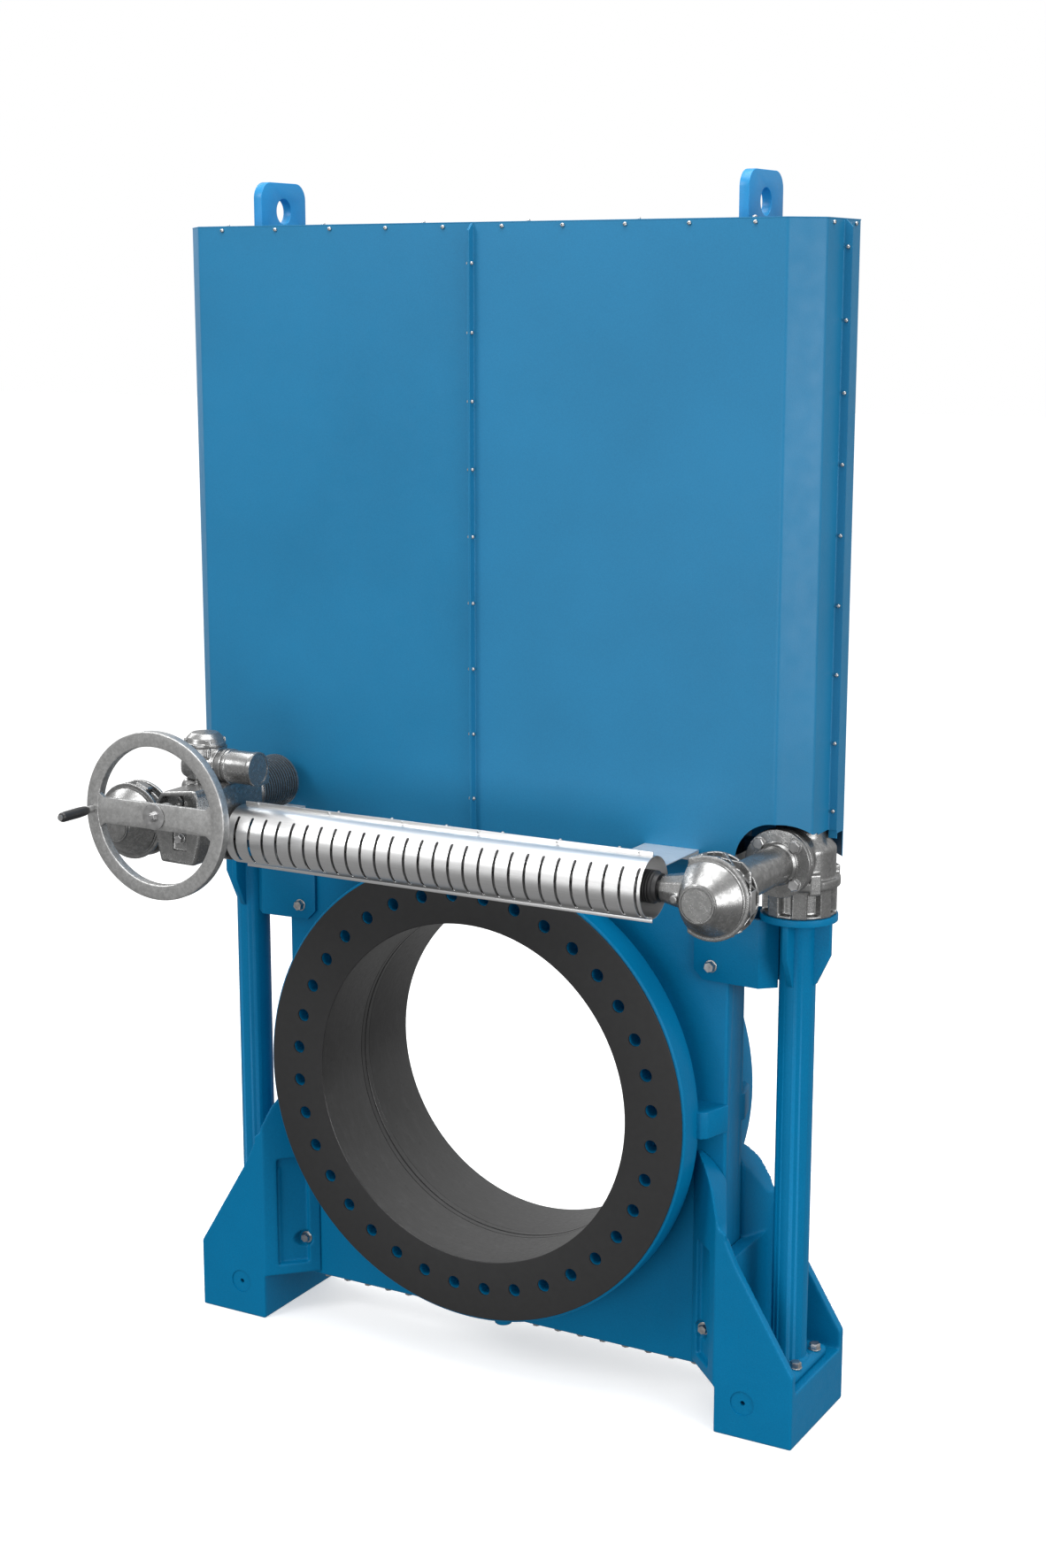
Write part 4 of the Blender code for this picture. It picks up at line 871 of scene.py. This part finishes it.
def guard():
    for face, turn in FACES:
        guard_shell(face, turn)
        guard_lips(face, turn)
    # the lips are bolted together
    x0, x1 = span("shaft_guard_front", "X")
    places = [(x0 + 0.06 + k * (x1 - x0 - 0.105) / 5, SHAFT_Y - 0.002, 0.826 + 0.0945) for k in range(6)]
    finish(screws(places, "-Y", 0.0042), "guard_screws", "steel")


def sheet(path, thick, radius):
    """A closed outline round a bent sheet that follows an open path, offset to its left."""
    line = [Vector(p) for p in soft(path, radius, 5, closed=False)]
    near, far = [], []
    for k, point in enumerate(line):
        back = (point - line[k - 1]).normalized() if k else None
        ahead = (line[k + 1] - point).normalized() if k < len(line) - 1 else None
        back, ahead = back or ahead, ahead or back
        across = Vector((-back.y - ahead.y, back.x + ahead.x)).normalized()
        reach = thick / max(0.4, across.dot(Vector((-back.y, back.x))))
        near.append(tuple(point))
        far.append(tuple(point + across * reach))
    return near + far[::-1]


def support_brackets():
    """Folded plates that carry the actuator and the guard from the gate housing."""
    back = -BOX_Y - 0.0003
    for name, top, front in (("actuator_bracket", 0.834, -0.4697), ("guard_bracket", 0.850, -0.4905)):
        x0, x1 = span(name, "X")
        path = [(back, top - 0.033), (back, top), (front, top), (front, top - 0.038)]
        folded = plate(sheet(path, 0.003, 0.0065), "X", x0, x1)
        finish(rounded(folded, 0.0005, 1, 60), name + "_plate", "folded", replaces=[name])
        places = [(x0 + 0.02, front - 0.0002, top - 0.022), (x1 - 0.02, front - 0.0002, top - 0.022)]
        finish(screws(places, "-Y", 0.005), name + "_screws", "steel")


# ---- the actuator and the handwheel ----
def actuator_block():
    """The gear block under the worm: a tapered front, a hood over the worm and the controls' tower."""
    front, back = -0.775, -0.470
    hood_front = front - 0.010
    taper = [(-0.7655, 0.900), (-0.7655, 0.8445), (-0.7465, 0.7595), (-0.6255, 0.7575), (-0.5985, 0.855), (-0.5985, 0.900)]
    core = rounded(plate(taper, "Y", front, back), 0.008)
    roof = [(-0.7665, 0.890), (-0.7600, 0.928), (-0.7290, 0.9740), (-0.6080, 0.9880), (-0.6000, 0.975), (-0.5985, 0.890)]
    parts = [rounded(plate(roof, "Y", hood_front, back + 0.015), 0.006)]
    wheel = [(0, -0.800), (0.084, -0.800), (0.088, -0.794), (0.088, -0.612), (0, -0.612)]
    parts.append(turned(soft(wheel, 0.006), "X", (0, SHAFT_Y, SHAFT_Z), 72))
    parts.append(turned(ring(0.05, 0.0925, -0.770, -0.758, 0.002), "X", (0, SHAFT_Y, SHAFT_Z), 72))
    parts.append(turned(disc(0.064, -0.486, -0.450, 0.004), "Y", (WORM_X, 0, WORM_Z), 64))
    parts.append(rounded(block((-0.765, -0.657, 0.90), (-0.645, -0.537, 0.9903)), 0.026, 6, 60))
    parts.append(rounded(block((-0.700, -0.664, 0.90), (-0.688, -0.620, 0.9903)), 0.003))
    # a bolt's pocket in the tapered front, and the hood's hollow with a round boss in it
    pocket = rounded(block((-0.700, front - 0.02, 0.800), (-0.648, front + 0.008, 0.872)), 0.004)
    hollow = [(-0.7540, 0.897), (-0.7490, 0.924), (-0.7230, 0.9620), (-0.6180, 0.9745), (-0.6110, 0.966), (-0.6100, 0.897)]
    deep = plate(hollow, "Y", front - 0.05, front + 0.020)
    cut(cast(core, parts, 0.0022, 2), pocket, deep)
    passage = turned([(0, -0.9), (0.030, -0.9), (0.030, -0.5), (0, -0.5)], "X", (0, SHAFT_Y, SHAFT_Z), 32)
    worm = turned([(0, -0.8), (0.024, -0.8), (0.024, -0.40), (0, -0.40)], "Y", (WORM_X, 0, WORM_Z), 32)
    cut(core, passage, worm)
    finish(core, "actuator_block", "grey", replaces=["actuator_housing"], sharp=50)
    boss = turned(soft([(0, -0.764), (0.0265, -0.764), (0.031, -0.760), (0.031, front + 0.0205), (0, front + 0.0205)], 0.002), "Y", (-0.7005, 0, 0.9440), 64)
    opening = turned([(0, -0.8), (0.0175, -0.8), (0.0175, -0.7), (0, -0.7)], "Y", (WORM_X, 0, WORM_Z), 32)
    finish(cut(boss, opening), "worm_bearing_cap", "grey", sharp=30)
    place = [(-0.6735, front + 0.008, 0.8365)]
    finish(hexes(place, "-Y", 0.024, 0.018), "actuator_front_bolt", "steel")


def controls():
    """The controls' case: a squarish foot, a round can with a domed cap, and the arm's end case."""
    x, y = -0.705, -0.597
    low, high = span("actuator_controls", "Z")
    arm_z = 1.0305
    shoulder = 1.058
    section = [(0, low), (0.0585, low), (0.0585, shoulder), (0.0620, shoulder + 0.003), (0.0620, high), (0, high)]
    can = turned(soft(section, 0.0015), "Z", (x, y, 0), 96)
    foot_case = rounded(block((-0.765, y - 0.060, low), (-0.645, y + 0.060, shoulder)), 0.026, 6, 60)
    parts = [foot_case, rounded(block((-0.700, y - 0.067, low), (-0.688, y - 0.03, shoulder - 0.004)), 0.003)]
    arm = [(0, -0.700), (0.047, -0.700), (0.047, -0.665), (0.0505, -0.660), (0.0505, -0.6425), (0, -0.6425)]
    parts.append(turned(soft(arm, 0.0015), "X", (0, y, arm_z), 96))
    for k in range(4):
        a = pi / 4 + k * pi / 2
        lug = turned(disc(0.0075, shoulder, high, 0.001), "Z", (x + 0.0590 * cos(a), y + 0.0590 * sin(a), 0), 20)
        parts.append(lug)
    finish(cast(can, parts, 0.0016, 2), "controls_case", "grey", replaces=["actuator_controls"], sharp=50)
    low, high = span("controls_cap", "Z")
    dome = [(0, low), (0.0625, low), (0.0625, low + 0.011), (0.0590, low + 0.013), (0.055, low + 0.026), (0.040, high - 0.004)]
    cap = turned(soft(dome + [(0, high)], 0.003), "Z", (x, y, 0), 96)
    pads = []
    for k in range(4):
        a = pi / 4 + k * pi / 2
        pad = rounded(block((0.036, -0.009, low), (0.0615, 0.009, low + 0.024)), 0.002)
        pad.data.transform(Matrix.Translation((x, y, 0)) @ Matrix.Rotation(a, 4, "Z"))
        pads.append(pad)
    union(cap, *pads)
    finish(cap, "controls_dome", "grey", replaces=["controls_cap"], sharp=35)
    x0, x1 = span("terminal_cover", "X")
    body = [(0, x0), (0.0490, x0), (0.0490, -0.6262), (0.0525, -0.6260), (0.0525, -0.6165), (0.0485, -0.6160)]
    body += [(0.0485, -0.6125), (0.0525, -0.6120), (0.0525, -0.6020), (0.0495, -0.6015), (0.0495, x1 - 0.016)]
    body += [(0.0515, x1 - 0.013), (0.0515, x1), (0, x1)]
    cover = turned(soft(body, 0.0012), "X", (0, y, arm_z), 96)
    toe = [(y, arm_z + 0.030), (y + 0.0505, arm_z + 0.012), (y + 0.0545, arm_z - 0.0510), (y, arm_z - 0.0515)]
    union(cover, rounded(plate(toe, "X", x1 - 0.013, x1), 0.002))
    recess = [(0, x1 - 0.002), (0.0460, x1 - 0.002), (0.0470, x1 + 0.01), (0, x1 + 0.01)]
    cut(cover, turned(recess, "X", (0, y, arm_z), 96))
    finish(cover, "terminal_case", "grey", replaces=["terminal_cover"], sharp=30)


def motor():
    """The finned motor on the worm shaft's rear end."""
    y0, y1 = span("motor_housing", "Y")
    fins = 14
    pitch = (y1 - 0.012 - (y0 + 0.020)) / fins
    section = [(0.0145, y0 + 0.012), (0.045, y0 + 0.012), (0.045, y0), (0.070, y0), (0.078, y0 + 0.018)]
    for k in range(fins):
        y = y0 + 0.020 + k * pitch
        section += [(0.082, y), (0.082, y + pitch * 0.42), (0.0745, y + pitch * 0.55), (0.0745, y + pitch * 0.93)]
    section += [(0.082, y1 - 0.012), (0.082, y1 - 0.004), (0.078, y1), (0.0145, y1)]
    finish(turned(section, "Y", (WORM_X, 0, WORM_Z), 128), "motor_fins", "grey", replaces=["motor_housing"], sharp=25)
    a = radians(-32)
    place = [(WORM_X + 0.081 * cos(a), -0.425, WORM_Z + 0.081 * sin(a))]
    finish(screws(place, "X", 0.006), "motor_screw", "steel")


def handwheel():
    front = span("handwheel", "Y")[0]
    middle = Vector((WORM_X, 0, WORM_Z))
    outer, inner = 0.250, 0.206
    rim = turned(soft([(inner, front), (outer, front), (outer, front + 0.030), (inner, front + 0.030)], 0.004, 4), "Y", middle, 192)
    half, r = 0.0385, 0.016
    # the spoke's outline swells into the rim at each end
    reach = sqrt((inner - r) ** 2 - (half + r) ** 2)
    corner = []
    turn_end = 90 - math_degrees(half + r, reach)
    corner += arc((reach, half + r), r, -90, -turn_end, 6)
    corner += [(inner + 0.012, half + r + 0.012), (inner + 0.012, 0)]
    quarter = [(0, half)] + corner
    outline = quarter + [(u, -v) for u, v in reversed(quarter[:-1])]
    outline += [(-u, -v) for u, v in quarter] + [(-u, v) for u, v in reversed(quarter[:-1])]
    outline = list(dict.fromkeys((round(u, 6), round(v, 6)) for u, v in outline))
    spoke = plate([(WORM_X + u, WORM_Z + v) for u, v in outline], "Y", front + 0.0005, front + 0.014)
    hub = turned(disc(0.030, front + 0.007, front + 0.067, 0.002), "Y", middle, 64)
    union(rim, rounded(spoke, 0.0008, 2), hub)
    bore = turned([(0, front - 0.05), (0.0165, front - 0.05), (0.0165, front + 0.2), (0, front + 0.2)], "Y", middle, 32)
    hole = turned([(0, -0.03), (0.0073, -0.03), (0.0073, 0.05), (0, 0.05)], "Y", (WORM_X - 0.228, front, WORM_Z), 24)
    cut(rim, bore, hole)
    finish(rim, "handwheel_rim", "wheel", "handwheel", ["handwheel"], sharp=28)
    # the retaining washer and nut
    bm = bmesh.new()
    place = Matrix.Translation(middle) @ axes("Y")
    add_turned(bm, place, ring(0.0095, 0.0385, front - 0.0045, front - 0.0003, 0.001), 72)
    nut = [(0.0095, front - 0.0165), (0.0125, front - 0.0165), (0.0140, front - 0.0150), (0.0140, front - 0.0045), (0.0095, front - 0.0045)]
    add_turned(bm, place, nut, 6, 0.35)
    finish(shape(bm), "hub_nut_washer", "steel", "handwheel", ["hub_nut"], sharp=30)


def math_degrees(v, u):
    """The angle whose tangent is v over u, in degrees."""
    return Vector((u, v)).angle(Vector((1, 0))) * 180 / pi


def grip():
    x = WORM_X - 0.228
    y0, y1 = span("handle_grip", "Y")
    section = [(0.0065, y0), (0.0118, y0), (0.0148, y0 + 0.006), (0.0152, y0 + 0.040), (0.0155, y0 + 0.075)]
    section += [(0.0142, y1 - 0.010), (0.0120, y1), (0.0065, y1)]
    finish(turned(soft(section, 0.003), "Y", (x, 0, WORM_Z), 64), "grip_sleeve", "plastic", "handle_grip", ["handle_grip"])


# ---- the gate housing ----
def panel(face, turn, side, sign):
    """One bent panel, with a standing flange at the middle and another at the side."""
    gap = 0.0003
    inner = [(gap, BOX_Y + SEAM), (gap, BOX_Y - SHEET), (BOX_FLAT_X - 0.0012, BOX_Y - SHEET)]
    inner += [(BOX_X - SHEET, BOX_CHAMFER_Y - 0.0012), (BOX_X - SHEET, gap), (BOX_X + SEAM, gap)]
    outline = sheet(inner, SHEET, 0.0065)
    top = BOX_TOP - 0.0035
    bent = plate([(sign * u, turn * v) for u, v in outline], "Z", BOX_LOW, top)
    low_x, high_x = sorted((sign * 1.0565, sign * 1.100))
    low_y, high_y = sorted((-turn * 0.01, turn * 0.127))
    notch_top = 0.905 if face == "front" else 0.880
    cutters = [block((low_x, low_y, BOX_LOW - 0.05), (high_x, high_y, notch_top))]
    # the standing flanges end in a slanted corner at the top
    corner = [(BOX_Y + 0.004, top + 0.001), (BOX_Y + SEAM + 0.01, top - SEAM - 0.005), (BOX_Y + SEAM + 0.01, top + 0.001)]
    cutters.append(plate([(turn * u, v) for u, v in corner], "X", -0.006, 0.006))
    corner = [(BOX_X + 0.004, top + 0.001), (BOX_X + SEAM + 0.01, top - SEAM - 0.005), (BOX_X + SEAM + 0.01, top + 0.001)]
    cutters.append(plate(flip(corner, sign), "Y", -0.006, 0.006))
    if face == "front":
        notch = [(0, -0.24), (0.1185, -0.24), (0.1185, -0.08), (0, -0.08)]
        cutters.append(turned(notch, "Y", (sign * STEM_X, 0, SHAFT_Z), 96))
    cut(bent, *cutters)
    label = face + "_" + side
    finish(bent, "sheet_" + label, "sheet", replaces=["panel_" + label], sharp=20)


def top_plate():
    """The housing's lid, slotted for the lugs."""
    edge = [(BOX_FLAT_X, BOX_Y), (BOX_X, BOX_CHAMFER_Y)]
    outline = edge + [(u, -v) for u, v in reversed(edge)]
    outline += [(-u, -v) for u, v in edge] + [(-u, v) for u, v in reversed(edge)]
    lid = plate(outline, "Z", BOX_TOP - 0.0032, BOX_TOP)
    slots = []
    for _, sign in SIDES:
        x = sorted((sign * 0.793, sign * 0.829))
        slots.append(rounded(block((x[0], -0.121, BOX_TOP - 0.05), (x[1], 0.121, BOX_TOP + 0.05)), 0.003))
    cut(lid, *slots)
    finish(rounded(lid, 0.0008, 2, 50), "sheet_lid", "sheet", replaces=["housing_top"], sharp=30)


def lifting_frame():
    """The beam over the posts and the two lugs that stand through the lid."""
    low, high = 2.560, 2.585
    half, top, corner = 0.118, span("lifting_beam", "Z")[1], 0.050
    beam = rounded(block((-0.830, -half, low), (0.830, half, high)), 0.002)
    outline = [(half, low + 0.01)] + arc((half - corner, top - corner), corner, 0, 90, 16)
    outline += arc((corner - half, top - corner), corner, 90, 180, 16) + [(-half, low + 0.01)]
    lugs = []
    for _, sign in SIDES:
        x0, x1 = sorted((sign * 0.796, sign * 0.826))
        lug = plate(outline, "X", x0, x1)
        eye = turned([(0, x0 - 0.01), (0.038, x0 - 0.01), (0.038, x1 + 0.01), (0, x1 + 0.01)], "X", (0, 0, 2.661), 64)
        lugs.append(rounded(cut(lug, eye), 0.0022, 3, 40))
    union(beam, *lugs)
    finish(beam, "lifting_lugs", "lug", replaces=["lifting_beam"], sharp=30)


def housing_screws():
    pitch = 0.1965
    r = 0.0062
    for face, turn in FACES:
        direction = "Y" if turn > 0 else "-Y"
        y = turn * (BOX_Y + 0.0005)
        rows = [(sign * pitch * (k + 0.5), y, BOX_TOP - 0.013) for k in range(5) for sign in (-1, 1)]
        rows += [(sign * pitch * (k + 0.5), y, BOX_LOW + 0.026) for k in range(3) for sign in (-1, 1)]
        finish(screws(rows, direction, r), "sheet_screws_" + face, "steel")
        # screws through the standing seam in the middle, with a nut behind each
        heights = [BOX_TOP - 0.116 - pitch * k for k in range(9)]
        seam_y = turn * (BOX_Y + SEAM * 0.52)
        bm = bmesh.new()
        for z in heights:
            add_screw(bm, Matrix.Translation((0.0033, seam_y, z)) @ axes("X"), r)
            add_hex(bm, Matrix.Translation((-0.0033, seam_y, z)) @ axes("-X"), 0.0095, 0.008)
        finish(shape(bm), "seam_screws_" + face, "steel")
    for side, sign in SIDES:
        bm = bmesh.new()
        for k in range(9):
            z = BOX_TOP - 0.077 - 0.197 * k
            x = sign * (BOX_X + SEAM * 0.52)
            add_screw(bm, Matrix.Translation((x, -0.0033, z)) @ axes("-Y"), r)
            add_hex(bm, Matrix.Translation((x, 0.0033, z)) @ axes("Y"), 0.0095, 0.008)
        for y in (-0.080, 0.080):
            direction = "X" if sign > 0 else "-X"
            add_screw(bm, Matrix.Translation((sign * (BOX_X + 0.0005), y, BOX_TOP - 0.013)) @ axes(direction), r)
        finish(shape(bm), "side_screws_" + side, "steel")
    bm = bmesh.new()
    for turn in (-1, 1):
        for k in range(6):
            add_screw(bm, Matrix.Translation((-0.875 + 0.35 * k, turn * 0.186, BOX_TOP)), r)
    finish(shape(bm), "lid_screws", "steel")


# ---- the moving gate and the parts that show only through gaps ----
def dress_cad():
    """Give every carried-over node its material."""
    looks = {"gate": "gate", "gate_packing": "rubber", "packing_gland": "casting"}
    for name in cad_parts:
        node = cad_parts[name]
        look = looks.get(name)
        if look is None and name.startswith("stem_nut"):
            look = "bronze"
        look = look or "steel"
        made = LOOKS[look][0]
        if node.data.materials:
            for k in range(len(node.data.materials)):
                node.data.materials[k] = made
        else:
            node.data.materials.append(made)


# ---- build ----
for face, turn in FACES:
    body_half(face, turn)
    sleeve(face, turn)
    sleeve_lip(face, turn)
for side, sign in SIDES:
    foot(side, sign)
    column(side, sign)
    column_gearbox(side, sign)
    output_tube(side, sign)
    corner_gearbox(side, sign)
foot_bolts()
brackets()
drive_shaft()
guard()
support_brackets()
actuator_block()
controls()
motor()
handwheel()
grip()
for face, turn in FACES:
    for side, sign in SIDES:
        panel(face, turn, side, sign)
top_plate()
lifting_frame()
housing_screws()
dress_cad()


# ---- camera, light and floor ----
def camera():
    data = bpy.data.cameras.new("camera")
    data.sensor_width = 36
    data.lens = 54.11
    data.clip_end = 100
    obj = bpy.data.objects.new("camera", data)
    bpy.context.scene.collection.objects.link(obj)
    obj.location = (3.52754, -5.80389, 3.34050)
    obj.rotation_euler = (radians(78.3287), 0, radians(29.3193))
    bpy.context.scene.camera = obj


def softbox(name, place, target, width, height, power):
    data = bpy.data.lights.new(name, "AREA")
    data.shape = "RECTANGLE"
    data.size = width
    data.size_y = height
    data.energy = power
    obj = bpy.data.objects.new(name, data)
    bpy.context.scene.collection.objects.link(obj)
    obj.location = place
    obj.rotation_euler = (Vector(target) - Vector(place)).to_track_quat("-Z", "Y").to_euler()


def studio():
    """White all round for the camera, a soft dome with a dark ground for everything else."""
    world = bpy.data.worlds.new("studio")
    world.use_nodes = True
    tree = world.node_tree
    parts = tree.nodes.new("ShaderNodeSeparateXYZ")
    tree.links.new(tree.nodes.new("ShaderNodeTexCoord").outputs["Generated"], parts.inputs["Vector"])
    height = maths(tree, "MULTIPLY_ADD", parts.outputs["Z"], 0.5, 0.5)
    stops = ((0.34, 0.26), (0.46, 0.47), (0.60, 0.52), (0.85, 0.90), (1.0, 1.10))
    sky = ramp(tree, height, *((at, (value, value, value)) for at, value in stops))
    seen = tree.nodes.new("ShaderNodeLightPath").outputs["Is Camera Ray"]
    tree.links.new(mixed(tree, seen, sky, (1.0, 1.0, 1.0)), tree.nodes["Background"].inputs["Color"])
    bpy.context.scene.world = world
    bpy.context.scene.view_settings.view_transform = "Standard"
    softbox("key", (-3.5, -5.5, 6.0), (0, 0, 1.8), 2.4, 2.4, 190)
    softbox("front", (0.5, -7.5, 1.4), (0, 0, 1.2), 5.0, 2.4, 150)
    softbox("right", (6.0, -1.5, 2.6), (0, 0, 1.4), 3.0, 3.0, 170)
    softbox("overhead", (0.5, -0.5, 7.0), (0, 0, 0), 4.0, 4.0, 250)
    softbox("rear_left", (-4.6, 1.4, 5.2), (0, 0, 1.4), 2.4, 2.4, 130)
    made, _, shader, _ = material("floor", (0.80, 0.80, 0.80), 0.0, 0.9)
    shader.inputs["Emission Color"].default_value = (1, 1, 1, 1)
    shader.inputs["Emission Strength"].default_value = 0.45
    floor = block((-60, -60, -0.10), (60, 60, 0))
    floor.name = "floor"
    floor.data.materials.append(made)
    floor.visible_glossy = False
    floor.visible_diffuse = False


camera()
studio()
